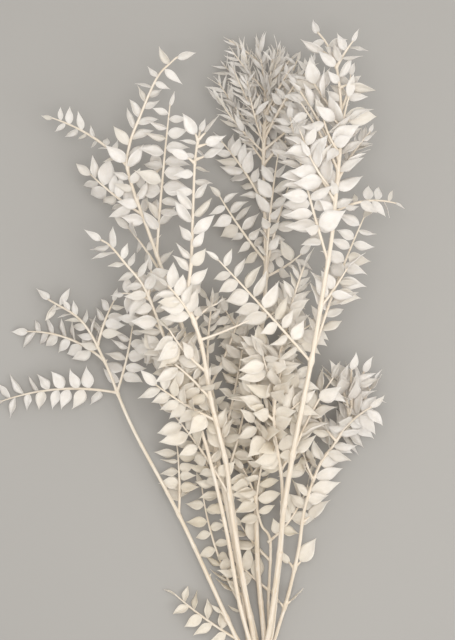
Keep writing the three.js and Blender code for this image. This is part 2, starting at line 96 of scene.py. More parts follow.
woodLayout = {
    "stemTip": 1,  # the radius at a stem's tip, and at a twig's root and tip
    "twigRoot": 1.5,
    "twigTip": 1.1,
    "fineTwig": 0.7,  # the thickness of a twig with narrow leaves, as a share of another's
    "buttSpread": 1.2,  # how far apart the cut ends are, as a share of the distance in the tie
    "chordError": 1.4,  # about how far the frame's straight stretches leave a twig's curve
    "stemStep": 30,  # the longest straight stretch of a stem above the tie
    "pastTie": 1,  # how far a stem's stretch through the tie reaches past it
    "riseDraw": (-0.02, 0.06),  # how far up a twig bows, as a share of its length
    "bareTwig": 0.13,  # the share of a twig before its first leaf
    "ballStep": 2.5,
}

tieLayout = {
    "width": 9,
    "thickness": 1.6,
    "gap": 0.7,  # between the stems and the tie
    "corners": 12,  # round each stem
    "sole": 0.3,  # how much of the tie is cut flat below
}

# Room kept clear round a leaf: first for the frame's own leaves, then for those between them. own is
# the stretch at a leaf's foot where its own stem isn't counted.
rooms = {
    "frame": {"leaf": 1.6, "wood": 1.0, "surface": 0.7, "own": 4},
    "between": {"leaf": 0.45, "wood": 0.3, "surface": 0.5, "own": 3},
    "box": 0.6,  # inside the frame's box
    "sideShare": 0.6,  # the room at a leaf's edge, as a share of that above and below it
}

# x runs across the bunch, y along it from the middle of the tie, and z up. A height is a place in y.
# leaf is the length of a stem's plain leaves, radius that of its cut end, cut how far below the middle
# of the tie it is cut, slot its x and z in the tie, and line its course above it. own gives the height
# where its own leaves begin, how many it has, and their form. Each twig is [height of its root, tip x,
# tip y, tip z, sideways bow, leaves, form]. Where no form is given, it is plain.
stems = [
    {
        "name": "stem-far-left", "leaf": 27, "radius": 2.5, "cut": 66, "slot": [-10.5, 11.1],
        "line": [[-26, 25, 13], [-89, 162, 22], [-144, 267, 28], [-175, 342, 32], [-201, 386, 28],
            [-240, 411, 20]],
        "own": [352, 14],
        "twigs": [
            [305, -295, 294, 5, -9, 15],
            [306, -143, 381, 30, -2, 11],
            [342, -266, 374, 6, -9, 12],
            [357, -163, 410, 34, 2, 9],
            [166, -94, 252, 20, -2, 13],
            [20, -97, 73, 4, 2, 9],
            [46, -44, 55, 15, 0, 1, "small"],
        ],
    },
    {
        "name": "stem-low-left", "leaf": 26, "radius": 2.0, "cut": 72, "slot": [-7, 3.9],
        "line": [[-13, 22, 6], [-19, 86, 13], [-27, 161, 30], [-37, 230, 42], [-50, 298, 50],
            [-61, 343, 55]],
        "own": [240, 14],
        "twigs": [
            [53, -65, 200, 25, 8, 15],
            [161, -68, 245, 32, 2, 10],
            [219, -15, 307, 51, -3, 12],
            [264, -95, 336, 46, 3, 12],
            [253, -17, 370, 53, -2, 14],
            [50, -23, 55, 10, 0, 1, "small"],
            [330, -52, 412, 58, 2, 11, "small"],
            [316, -22, 392, 56, -2, 10, "small"],
            [92, -29, 97, 18, 0, 1],
            [68, -22, 77, 14, 0, 1],
        ],
    },
    {
        "name": "stem-front-left", "leaf": 31, "radius": 3.0, "cut": 60, "slot": [-3.5, 11.1],
        "line": [[-8, 36, 18], [-17, 88, 35], [-31, 173, 58], [-37, 229, 78], [-53, 299, 104],
            [-63, 359, 122], [-77, 408, 130], [-74, 450, 128], [-72, 515, 122], [-70, 560, 117],
            [-65, 590, 112]],
        "own": [396, 22],
        "twigs": [
            [279, -113, 318, 108, 2, 12, "bushy"],
            [386, -46, 405, 116, 2, 3, "small"],
            [366, -13, 387, 138, -1, 0],
            [192, -98, 287, 72, -3, 13],
            [332, -98, 378, 126, 3, 15, "bushy"],
            [384, -99, 424, 138, -2, 9, "bushy"],
            [301, -98, 345, 117, -2, 14, "bushy"],
            [238, -58, 300, 92, -3, 8, "bushy"],
            [578, -70, 586, 118, 0, 1],
            [580, -59, 587, 118, 0, 1],
            [572, -58, 575, 116, 0, 1],
            [554, -78, 560, 120, 0, 1],
            [558, -60, 561, 121, 0, 1],
        ],
    },
    {
        "name": "stem-upper-left", "leaf": 31, "radius": 2.4, "cut": 70, "slot": [-3.5, 17.3],
        "line": [[-12, 28, 22], [-23, 71, 31], [-35, 142, 48], [-52, 222, 72], [-67, 275, 86],
            [-87, 325, 96], [-104, 369, 102], [-124, 420, 106], [-145, 447, 104], [-162, 467, 101],
            [-173, 474, 99]],
        "own": [318, 26],
        "twigs": [
            [376, -133, 388, 92, -3, 9, "bushy"],
            [355, -122, 356, 84, 2, 9, "bushy"],
            [409, -150, 416, 92, -2, 7],
            [317, -118, 350, 78, 1, 8, "bushy"],
            [413, -118, 442, 104, -1, 5],
            [286, -92, 330, 76, 2, 8, "bushy"],
        ],
    },
    {
        "name": "stem-tall-left", "leaf": 30, "radius": 2.8, "cut": 58, "slot": [0, 4.9],
        "line": [[-5, 32, 8], [-22, 104, 28], [-42, 208, 46], [-61, 298, 56], [-83, 371, 64],
            [-106, 438, 70], [-121, 480, 74], [-144, 547, 78], [-143, 578, 80], [-131, 610, 82],
            [-113, 651, 82], [-96, 670, 80], [-90, 675, 79]],
        "own": [492, 24],
        "twigs": [
            [553, -231, 611, 62, -7, 13, "small"],
            [459, -98, 621, 92, 1, 20],
            [503, -188, 549, 60, 2, 11],
            [426, -146, 490, 56, -2, 7],
            [520, -104, 560, 62, 2, 4],
        ],
    },
    {
        "name": "stem-middle", "leaf": 25, "radius": 3.0, "cut": 75, "slot": [3.5, 11.1],
        "line": [[6, 24, 11], [-1, 102, 15], [-3, 185, 20], [-1, 263, 25], [1, 353, 29],
            [7, 421, 31], [7, 477, 32], [5, 569, 33], [7, 634, 32], [3, 672, 31], [-14, 690, 28],
            [-34, 704, 26]],
        "own": [596, 44, "narrow"],
        "twigs": [
            [438, 21, 574, 48, 2, 15],
            [440, 34, 540, 22, 2, 13],
            [453, -45, 527, 39, 2, 13],
            [515, -43, 590, 25, -3, 14],
            [436, 48, 462, 30, -2, 7],
            [590, -46, 655, 38, 3, 40, "narrow"],
            [615, -40, 680, 5, -2, 40, "narrow"],
            [626, 21, 690, 44, 1, 34, "narrow"],
            [615, 43, 680, 36, -2, 18, "small"],
            [607, 55, 660, 7, -3, 13, "bushy"],
            [579, 52, 621, 53, -2, 14, "bushy"],
            [562, 42, 597, 41, 2, 13, "bushy"],
            [387, 41, 422, 20, -3, 12],
            [308, 53, 370, 16, 3, 12],
            [297, -28, 357, 16, 2, 12],
            [228, 42, 290, 20, -3, 11],
            [205, -24, 267, 29, 2, 10],
            [664, -1, 698, 34, 0, 21, "narrow"],
            [602, -30, 668, 58, 2, 38, "narrow"],
            [638, 14, 676, 62, -1, 22, "narrow"],
            [566, -34, 634, 30, 3, 34, "narrow"],
            [584, -14, 652, 62, 2, 35, "narrow"],
            [596, 30, 652, 20, -2, 30, "narrow"],
            [646, -30, 686, 52, 1, 22, "narrow"],
            [604, 26, 676, 18, 2, 32, "narrow"],
            [576, -50, 640, 52, 3, 34, "narrow"],
            [620, -18, 694, 50, 2, 30, "narrow"],
            [632, 22, 682, 62, 1, 23, "narrow"],
            [334, -60, 414, 20, 3, 13],
            [318, -38, 398, 42, -3, 12],
            [600, 60, 678, 44, -2, 15, "small"],
            [590, 46, 658, 66, 2, 15, "small"],
            [618, 33, 664, 58, 1, 12, "small"],
            [640, 38, 684, 30, 2, 12, "small"],
        ],
    },
    {
        "name": "stem-front-right", "leaf": 31, "radius": 3.2, "cut": 63, "slot": [3.5, 18.2],
        "line": [[12, 36, 22], [22, 124, 48], [26, 176, 68], [36, 248, 94], [47, 308, 110],
            [57, 363, 120], [67, 427, 126], [74, 470, 128], [77, 501, 128], [84, 573, 124],
            [85, 610, 122], [82, 648, 118], [76, 670, 115], [69, 685, 111], [61, 696, 107]],
        "own": [478, 26],
        "twigs": [
            [342, -46, 451, 135, -1, 17],
            [345, 112, 499, 98, 3, 20],
            [401, 92, 443, 119, -1, 6],
            [449, 31, 604, 114, 2, 28, "bushy"],
            [532, 118, 590, 104, 3, 15, "small"],
            [501, 146, 513, 100, 7, 10, "small"],
            [564, 65, 603, 133, 3, 11, "bushy"],
            [599, 50, 655, 104, 2, 11, "bushy"],
            [610, 96, 650, 112, -2, 6, "small"],
            [241, 79, 325, 92, 3, 9],
            [655, 98, 684, 121, 1, 5, "small"],
            [583, 93, 624, 128, 1, 3],
            [520, 50, 560, 140, 2, 9, "bushy"],
            [512, 40, 588, 134, 2, 13, "bushy"],
            [545, 42, 618, 122, -2, 13, "bushy"],
            [556, 36, 640, 116, -2, 12, "bushy"],
            [666, 66, 673, 120, 0, 1],
            [634, 92, 637, 125, 0, 1],
            [592, 77, 599, 130, 0, 1],
            [596, 94, 599, 129, 0, 1],
        ],
    },
    {
        "name": "stem-inner-right", "leaf": 31, "radius": 2.2, "cut": 71, "slot": [10.5, 11.1],
        "line": [[16, 35, 14], [20, 81, 27], [25, 141, 46], [24, 210, 70], [16, 260, 86],
            [15, 300, 94], [17, 333, 98], [27, 373, 100], [32, 398, 100], [39, 422, 98],
            [47, 445, 94]],
        "own": [222, 48, "bushy"],
        "twigs": [
            [278, -11, 310, 95, 2, 11, "bushy"],
            [300, 40, 325, 90, -2, 10, "bushy"],
            [244, -7, 278, 92, 1, 11, "bushy"],
            [331, -5, 360, 102, -2, 11, "bushy"],
            [355, 58, 384, 84, 2, 9],
            [222, 46, 264, 69, -1, 9, "bushy"],
            [268, 44, 300, 104, 2, 10, "bushy"],
            [312, 2, 350, 114, 1, 9, "bushy"],
            [290, 22, 334, 116, 1, 9, "bushy"],
        ],
    },
    {
        "name": "stem-low-right", "leaf": 31, "radius": 2.2, "cut": 64, "slot": [14, 4.3],
        "line": [[21, 30, 8], [34, 75, 14], [45, 127, 22], [52, 176, 28], [68, 224, 34],
            [85, 250, 44], [98, 277, 52], [107, 308, 56], [116, 330, 56]],
        "own": [172, 24],
        "twigs": [
            [235, 124, 286, 5, 2, 12, "bushy"],
            [252, 60, 293, 48, 3, 11, "bushy"],
            [268, 128, 316, 38, -2, 11, "bushy"],
            [207, 48, 246, 40, 2, 8],
            [282, 84, 326, 72, -2, 10, "bushy"],
            [262, 122, 292, 76, 2, 9, "bushy"],
            [292, 100, 334, 80, 1, 8, "bushy"],
            [62, 37, 67, 14, 0, 1, "small"],
            [106, 48, 113, 20, 0, 1],
            [158, 57, 165, 28, 0, 1],
            [104, 34, 112, 18, 0, 1, "small"],
            [58, 24, 65, 12, 0, 1, "small"],
        ],
    },
    {
        "name": "stem-short-middle", "leaf": 28, "radius": 1.8, "cut": 68, "slot": [7, 3.9],
        "line": [[11, 32, 5], [11, 66, 8], [13, 134, 17], [3, 154, 22], [-3, 178, 28], [-1, 202, 33],
            [5, 236, 38], [10, 264, 42]],
        "own": [160, 14],
        "twigs": [
            [135, 56, 200, 16, -6, 9],
            [178, -19, 221, 38, -2, 9],
            [113, -21, 153, 4, 2, 7],
            [78, -25, 110, 5, 1, 6],
        ],
    },
]


# How each random draw follows from the last one, and how stems and twigs are numbered for them.
drawValues = {
    "modulus": 2147483647,
    "multiplier": 16807,
    "spread": 7919,
    "offset": 104729,
    "stemNumbers": 10000,
    "twigNumbers": 100,
}


def drawsFor(number):
    # Random draws for one leaf, twig or stem, which depend on its number alone.
    v = drawValues
    state = (number * v["spread"] + v["offset"]) % v["modulus"]

    def draw(low, high):
        nonlocal state
        state = state * v["multiplier"] % v["modulus"]
        return low + (high - low) * (state / v["modulus"])

    draw(0, 1)  # the first two differ too little from one number to the next
    draw(0, 1)
    return draw


def unit(v):
    return v / np.linalg.norm(v)


def mix(a, b, share):
    return a + (b - a) * share


def turned(v, axis, angle):
    along = axis * (axis @ v)
    return v * math.cos(angle) + np.cross(axis, v) * math.sin(angle) + along * (1 - math.cos(angle))


curveValues = {
    "samples": 201,  # in a curve's table of its length
    "headingStep": 1e-4,
    "halvings": 40,  # in the search for a height
}


def curveThrough(pointOf):
    # A curve with a table of its length, so that places along it go by distance.
    shares = np.linspace(0, 1, curveValues["samples"])
    places = np.array([pointOf(t) for t in shares])
    steps = np.linalg.norm(np.diff(places, axis=0), axis=1)
    lengths = np.concatenate([[0], np.cumsum(steps)])
    return SimpleNamespace(pointOf=pointOf, shares=shares, lengths=lengths, length=lengths[-1])


def splineOf(points):
    # A smooth curve through all its points.
    points = np.array([2 * points[0] - points[1], *points, 2 * points[-1] - points[-2]])
    spans = len(points) - 3

    def pointOf(t):
        k = min(int(t * spans), spans - 1)
        w = t * spans - k
        a, b, c, d = points[k:k + 4]
        p, q = 0.5 * (c - a), 0.5 * (d - b)
        return b + p * w + (3 * c - 3 * b - 2 * p - q) * w ** 2 + (2 * b - 2 * c + p + q) * w ** 3

    return curveThrough(pointOf)


def bowOf(root, bend, tip):
    return curveThrough(lambda t: (1 - t) ** 2 * root + 2 * (1 - t) * t * bend + t ** 2 * tip)


def placeAt(curve, u):
    return curve.pointOf(np.interp(u * curve.length, curve.lengths, curve.shares))


def headingAt(curve, u):
    t = np.interp(u * curve.length, curve.lengths, curve.shares)
    step = curveValues["headingStep"]
    return unit(curve.pointOf(min(t + step, 1)) - curve.pointOf(max(t - step, 0)))


def shareAtHeight(curve, height):
    low, high = 0, 1
    for _ in range(curveValues["halvings"]):
        middle = (low + high) / 2
        if placeAt(curve, middle)[1] < height:
            low = middle
        else:
            high = middle
    return (low + high) / 2


def woodAlong(curve, stations, thick, thin, **rest):
    # chordAt is a place on the frame's wood, which runs straight between its stations.
    places = np.array([placeAt(curve, u) for u in stations])

    def chordAt(u):
        return np.array([np.interp(u, stations, places[:, i]) for i in range(3)])

    return SimpleNamespace(curve=curve, stations=stations, thick=thick, thin=thin, chordAt=chordAt, **rest)


def radiusAt(wood, u):
    return mix(wood.thick, wood.thin, u * u)


def stemWood(stem, index):
    x, z = stem["slot"]
    line = [np.array(p, float) for p in stem["line"]]
    butt = np.array([x * woodLayout["buttSpread"], -stem["cut"], z], float)
    curve = splineOf([butt, np.array([x, 0, z], float), *line])
    height, leaves, form = [*stem["own"], "plain"][:3]
    tieEnd = tieLayout["width"] / 2 + woodLayout["pastTie"]
    low, high = [shareAtHeight(curve, side * tieEnd) for side in (-1, 1)]
    steps = math.ceil(curve.length * (1 - high) / woodLayout["stemStep"])
    stations = [0, low, *(mix(high, 1, i / steps) for i in range(steps + 1))]
    return woodAlong(curve, stations, stem["radius"], woodLayout["stemTip"], stem=index,
                     number=index * drawValues["stemNumbers"], start=shareAtHeight(curve, height),
                     leaves=leaves, leaf=stem["leaf"], form=form, isStem=True)


def twigWood(twig, parent, order):
    height, x, y, z, bow, leaves, form = [*twig, "plain"][:7]
    number = parent.number + order * drawValues["twigNumbers"]
    root = parent.chordAt(shareAtHeight(parent.curve, height))
    tip = np.array([x, y, z], float)
    sideways = unit(np.array([root[1] - tip[1], tip[0] - root[0], 0]))
    bend = mix(root, tip, 0.5) + 2 * bow * sideways
    rise = np.linalg.norm(tip - root) * drawsFor(number)(*woodLayout["riseDraw"])
    bend[2] += rise
    steps = math.ceil(math.sqrt((abs(bow) + abs(rise) / 2) / woodLayout["chordError"]))
    stations = [i / steps for i in range(steps + 1)]
    fineness = woodLayout["fineTwig"] if form == "narrow" else 1
    thick, thin = woodLayout["twigRoot"] * fineness, woodLayout["twigTip"] * fineness
    return woodAlong(bowOf(root, bend, tip), stations, thick, thin, stem=parent.stem, number=number,
                     start=woodLayout["bareTwig"], leaves=leaves, leaf=parent.leaf, form=form,
                     isStem=False)


def edgeShare(t):
    # How far a leaf's edge is from its midrib, as a share of half its width.
    v = leafLayout
    places = [0, v["widestAt"], v["shoulderAt"], 1]
    return np.interp(t, places, [v["footShare"], 1, v["shoulderShare"], 0])


# The points of a leaf that are tested, from near its foot to its tip and from edge to edge.
probes = {"from": 0.12, "rows": 9, "columns": 5}
probeT, probeS = [grid.ravel() for grid in np.meshgrid(
    np.linspace(probes["from"], 1, probes["rows"]), np.linspace(-1, 1, probes["columns"]), indexing="ij")]


def leafSurface(leaf, t, s):
    # The leaf's middle surface: t runs from its foot to its tip and s from edge to edge.
    t, s = np.atleast_1d(t)[:, None], np.atleast_1d(s)[:, None]
    return (leaf.foot + leaf.along * t * leaf.length + leaf.across * s * leaf.width * edgeShare(t) / 2
            - leaf.normal * leaf.arch * leaf.length * t * t)


def leafOn(wood, index, bend, smooth, growth=(1.0, 1.0)):
    # A leaf as drawn by its number, then rolled about its midrib, raised, and drawn in by some degrees.
    # Its foot is on the curve itself where smooth, or else on the frame's straight stretches.
    v, form = leafLayout, forms[wood.form]
    turn, lift, close = bend
    draw = drawsFor(wood.number + index + 1)
    last = index == wood.leaves - 1
    place = (index + 0.5 + draw(*v["placeDraw"])) / wood.leaves
    u = 1 - v["tipSink"] / wood.curve.length if last else mix(wood.start, 1, place)
    ahead = headingAt(wood.curve, u)
    tilt = math.radians(drawsFor(wood.number)(*v["twigTurnDraw"]) + draw(*form["turn"]))
    up = turned(unit(np.array([0, 0, 1]) - ahead * ahead[2]), ahead, tilt)
    out = np.cross(ahead, up) * (1 if index % 2 else -1)
    spread = math.radians(draw(*v["lastSpreadDraw"] if last else form["spread"]) - close)
    raised = math.radians(draw(*form["lift"]) + lift)
    sideways = out * math.cos(raised) + up * math.sin(raised)
    along = unit(ahead * math.cos(spread) + sideways * math.sin(spread))
    roll = math.radians(draw(*form["roll"]) + turn)
    normal = turned(unit(up - along * (up @ along)), along, roll)
    youth = 1 - v["youngest"] * min(max((u - v["youngFrom"]) / v["youngOver"], 0), 1)
    length = wood.leaf * form["size"] * draw(*v["lengthDraw"]) * youth
    width = length * v["widthShare"] * form["slim"] * draw(*v["widthDraw"]) * youth
    length, width = length * growth[0], width * growth[1]
    foot = placeAt(wood.curve, u) if smooth else wood.chordAt(u)
    leaf = SimpleNamespace(wood=wood, index=index, bend=bend, u=u, foot=foot, along=along,
                           across=np.cross(normal, along), normal=normal, length=length, width=width,
                           arch=draw(*v["archDraw"]))
    leaf.points = leafSurface(leaf, probeT, probeS)
    leaf.middle = leafSurface(leaf, 0.5, 0)[0]
    return leaf


def touches(feet, axes, lengths, widths, arches, points, radii, room, start):
    # Whether any ball comes within room of any leaf. Each leaf's axes are its along, across and normal.
    local = (points - feet[:, None]) @ axes.transpose(0, 2, 1)
    along, across, off = np.moveaxis(local, -1, 0)
    lengths, widths = lengths[:, None], widths[:, None]
    t = np.clip(along / lengths, 0, 1)
    edge = widths * edgeShare(t) / 2 + room * rooms["sideShare"] + radii
    off = off + arches[:, None] * lengths * t * t
    within = (along >= start) & (along <= lengths + room + radii)
    return bool((within & (abs(across) <= edge) & (abs(off) < room + radii)).any())


def leafFrames(leaves):
    axes = np.array([(leaf.along, leaf.across, leaf.normal) for leaf in leaves])
    return (np.array([leaf.foot for leaf in leaves]), axes, np.array([leaf.length for leaf in leaves]),
            np.array([leaf.width for leaf in leaves]), np.array([leaf.arch for leaf in leaves]))


def ballsAlong(woods, pointOf):
    # Balls along all the wood, which stand for it when leaves are placed.
    centres, radii, owners = [], [], []
    for wood in woods:
        count = math.ceil(wood.curve.length / woodLayout["ballStep"])
        for i in range(count + 1):
            centres.append(pointOf(wood, i / count))
            radii.append(radiusAt(wood, i / count))
            owners.append(wood.stem)
    return np.array(centres), np.array(radii), np.array(owners)


def isClear(leaf, placed, balls, room):
    # Whether a leaf is clear of the surface, of all wood, and of the leaves already placed.
    if leaf.points[:, 2].min() < room["surface"]:
        return False
    own = leafFrames([leaf])
    centres, radii, owners = balls
    near = np.linalg.norm(centres - leaf.middle, axis=1) <= leaf.length
    start = np.where(owners[near] == leaf.wood.stem, room["own"], -room["wood"])
    if touches(*own, centres[near][None], radii[near], room["wood"], start):
        return False
    reach = leaf.length + placed.lengths / 2
    close = np.flatnonzero(np.linalg.norm(placed.middles - leaf.middle, axis=1) <= reach)
    others = [placed.leaves[k] for k in close]
    if not others:
        return True
    if touches(*leafFrames(others), leaf.points[None], 0, room["leaf"], 0):
        return False
    return not touches(*own, np.concatenate([o.points for o in others])[None], 0, room["leaf"], 0)


# The ways in which a leaf may be bent clear, tried in turn: rolled, raised, and drawn in.
bends = [(0, 0, 0), (24, 0, 0), (-24, 0, 0), (0, 22, 0), (0, -22, 0), (40, 18, 6), (-40, -18, 6),
         (30, -30, 10), (-30, 30, 10), (60, 0, 14), (-60, 0, 14), (0, 45, 10), (0, -45, 10), (80, 10, 22),
         (-80, -10, 22)]
# More ways for the leaves that the frame doesn't have.
furtherBends = [(0, 70, 0), (0, -70, 0), (110, 0, 10), (-110, 0, 10), (50, 60, 20), (-50, 60, 20),
                (0, 30, 40), (0, -30, 40), (90, 90, 0), (-90, -90, 0)]


woods = []
for index, stem in enumerate(stems):
    parent = stemWood(stem, index)
    woods.append(parent)
    woods += [twigWood(twig, parent, order) for order, twig in enumerate(stem["twigs"], 1)]
mainStems = [wood for wood in woods if wood.isStem]


def tieOutline(distance):
    # Corners at some distance outside the stems that pass through the tie, flattened below.
    corners = []
    for wood in mainStems:
        for u in wood.stations[1:3]:
            centre, radius = wood.chordAt(u), radiusAt(wood, u) + distance
            for k in range(tieLayout["corners"]):
                angle = 2 * math.pi * k / tieLayout["corners"]
                corners.append((centre[0] + radius * math.cos(angle), centre[2] + radius * math.sin(angle)))
    sole = min(z for _, z in corners) + tieLayout["sole"]
    return [(x, max(z, sole)) for x, z in corners]


# The layout's own origin is in the middle of the tie, so the frame's tie gives its place in the frame.
tieLow = np.array(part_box("tie")[0]) / mm
outermost = np.array(tieOutline(tieLayout["gap"] + tieLayout["thickness"])).min(axis=0)
shift = tieLow - np.array([outermost[0], -tieLayout["width"] / 2, outermost[1]])
lowCorner, highCorner = [np.array(corner) / mm - shift for corner in cadBox]


def toFrame(points):
    return (np.asarray(points) + shift) * mm


placed = SimpleNamespace(leaves=[], middles=np.zeros((0, 3)), lengths=np.zeros(0))


def placeLeaves(chosen, leafFor, ways, balls, room, fits=lambda leaf: True):
    # Adds each chosen leaf that can be bent clear of everything.
    for wood in woods:
        for index in range(wood.leaves):
            if not chosen(wood, index):
                continue
            for bend in ways:
                leaf = leafFor(wood, index, bend)
                if fits(leaf) and isClear(leaf, placed, balls, room):
                    placed.leaves.append(leaf)
                    placed.middles = np.vstack([placed.middles, leaf.middle])
                    placed.lengths = np.append(placed.lengths, leaf.length)
                    break


# The frame has the last leaf of each stem and twig, and of the others one in eight, or in 24 if narrow.
frameLeaves = {"oneIn": 8, "oneInNarrow": 24, "first": 2}


def isFrameLeaf(wood, index):
    step = frameLeaves["oneInNarrow" if wood.form == "narrow" else "oneIn"]
    return index == wood.leaves - 1 or index % step == frameLeaves["first"]


def frameLeaf(wood, index, bend):
    return leafOn(wood, index, bend, smooth=False)


chordBalls = ballsAlong(woods, lambda wood, u: wood.chordAt(u))
placeLeaves(isFrameLeaf, frameLeaf, bends, chordBalls, rooms["frame"])
print("leaves of the frame:", len(placed.leaves))

taken = {(leaf.wood.number, leaf.index) for leaf in placed.leaves}
placed.leaves = [leafOn(leaf.wood, leaf.index, leaf.bend, smooth=True) for leaf in placed.leaves]

# The narrow leaves that the frame doesn't have are longer and wider, and stand in every other pair.
narrowLeaves = {"growth": (1.45, 1.3), "pairs": 2}


def isFree(wood, index):
    pair = index // 2 % (narrowLeaves["pairs"] if wood.form == "narrow" else 1)
    return pair == 0 and (wood.number, index) not in taken


def furtherLeaf(wood, index, bend):
    growth = narrowLeaves["growth"] if wood.form == "narrow" else (1.0, 1.0)
    return leafOn(wood, index, bend, smooth=True, growth=growth)


def staysInBox(leaf):
    edge = rooms["box"]
    return (leaf.points > lowCorner + edge).all() and (leaf.points < highCorner - edge).all()


curveBalls = ballsAlong(woods, lambda wood, u: placeAt(wood.curve, u))
placeLeaves(isFree, furtherLeaf, bends + furtherBends, curveBalls, rooms["between"], staysInBox)
print("leaves in all:", len(placed.leaves))


def newShape():
    return SimpleNamespace(points=[], places=[], faces=[], smooth=[], finish=[], count=0)


def addPoints(shape, points, places):
    # places are what the materials read: where a point is on its own leaf, stem or strand.
    first = shape.count
    shape.points.append(np.asarray(points, float).reshape(-1, 3))
    shape.places.append(np.asarray(places, float).reshape(-1, 3))
    shape.count += len(shape.points[-1])
    return first


def addFaces(shape, faces, smooth=True, finish=0):
    shape.faces += faces
    shape.smooth += [smooth] * len(faces)
    shape.finish += [finish] * len(faces)


def addTube(shape, rings, places, startFinish=0):
    # A closed tube through rings of points, with a flat face at each end.
    count, sides = rings.shape[:2]
    first = addPoints(shape, rings, places)
    ring = np.arange(sides)
    a = first + np.arange(count - 1)[:, None] * sides + ring
    b = first + np.arange(count - 1)[:, None] * sides + (ring + 1) % sides
    addFaces(shape, np.stack([a, b, b + sides, a + sides], axis=-1).reshape(-1, 4).tolist())
    addFaces(shape, [(first + ring[::-1]).tolist()], smooth=False, finish=startFinish)
    addFaces(shape, [(first + (count - 1) * sides + ring).tolist()], smooth=False)


def makePiece(name, shape, materials, node):
    mesh = bpy.data.meshes.new(name)
    mesh.from_pydata(toFrame(np.concatenate(shape.points)).tolist(), [], shape.faces)
    mesh.polygons.foreach_set("use_smooth", shape.smooth)
    mesh.polygons.foreach_set("material_index", shape.finish)
    place = mesh.attributes.new("place", "FLOAT_VECTOR", "POINT")
    place.data.foreach_set("vector", np.concatenate(shape.places).astype(np.float32).ravel())
    for material in materials:
        mesh.materials.append(material)
    piece = bpy.data.objects.new(name, mesh)
    bpy.context.scene.collection.objects.link(piece)
    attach(piece, "root")
    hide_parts(node)


def ringsAlong(centres, headings, radii, lengths, sides):
    # Round rings square to the headings, which are never upright. Also gives each point's place: how
    # far across and up it is from the middle of its ring, and how far along.
    up = np.array([0, 0, 1]) - headings * headings[:, 2:]
    up /= np.linalg.norm(up, axis=1)[:, None]
    side = np.cross(headings, up)
    angles = 2 * np.pi * np.arange(sides) / sides
    across = radii[:, None] * np.cos(angles)
    rise = -radii[:, None] * np.sin(angles)
    rings = centres[:, None] + side[:, None] * across[..., None] + up[:, None] * rise[..., None]
    along = np.broadcast_to(lengths[:, None], across.shape)
    return rings, np.stack([across, rise, along], axis=-1)


bladeValues = {
    "rows": 14,
    "columns": 7,
    "stalk": 0.05,  # the share of the leaf that is a narrow stalk
    "stalkHalf": 0.55,
    "tipHalf": 0.06,
    "footReach": 0.25,  # the share of the leaf over which the stalk's thickness fades
    "footPower": 0.85,  # under 1 makes the foot round
    "tipDraw": (1.2, 1.85),  # over 1 draws the tip out
    "thickness": 0.4,
    "edgeThickness": 0.2,
    "midrib": 0.22,  # how far the midrib stands out below
    "midribPower": 0.7,  # under 1 keeps it up towards the tip
    "cupDraw": (-0.2, 0.4),
    "foldDraw": (0.02, 0.4),
    "sink": 0.4,  # how far the cup and fold sink the midrib, as a share of their height
    "twistDraw": (-28, 28),
    "twistFrom": 0.3,  # where along the leaf it isn't twisted
    "waveDraw": (0.02, 0.13),
    "waves": 1.6,
    "swayDraw": (-0.09, 0.09),  # how far the leaf curves to one side, as a share of its length
    "hookDraw": (-0.09, 0.09),  # how far its drawn-out tip does
    "hookPower": 6,
    "boxEdge": 0.1,  # how far inside the bunch's own box it ends
    "drawsFrom": 500000,
}


def bladeShare(t, tipPower):
    # Half the blade's width, as a share of its greatest.
    v = bladeValues
    blade = np.clip((t - v["stalk"]) / (1 - v["stalk"]), 0, 1)
    widest = v["footPower"] / (v["footPower"] + tipPower)
    return (blade / widest) ** v["footPower"] * ((1 - blade) / (1 - widest)) ** tipPower


def bladeGrid():
    # Where the points of a blade are. Its rows stand closer together at the foot and the tip.
    v = bladeValues
    even = np.linspace(0, 1, v["rows"])
    t = (even + 0.5 - 0.5 * np.cos(np.pi * even)) / 2
    return np.meshgrid(t, np.linspace(-1, 1, v["columns"]), indexing="ij")


def bladeFaces():
    # The top and bottom of a blade, then its rim.
    rows, columns = bladeValues["rows"], bladeValues["columns"]
    top = np.arange(rows * columns).reshape(rows, columns)
    under = top + rows * columns
    skin = np.stack([top[:-1, :-1], top[1:, :-1], top[1:, 1:], top[:-1, 1:]], axis=-1).reshape(-1, 4)
    edge = [*top[:, 0], *top[-1, 1:], *top[-2::-1, -1], *top[0, -2:0:-1]]
    rim = [(a, a + rows * columns, b + rows * columns, b) for a, b in zip(edge, edge[1:] + edge[:1])]
    return np.concatenate([skin, skin[:, ::-1] + under[0, 0]]), np.array(rim)


def stalkFade(t):
    return np.minimum(t / bladeValues["footReach"], 1)


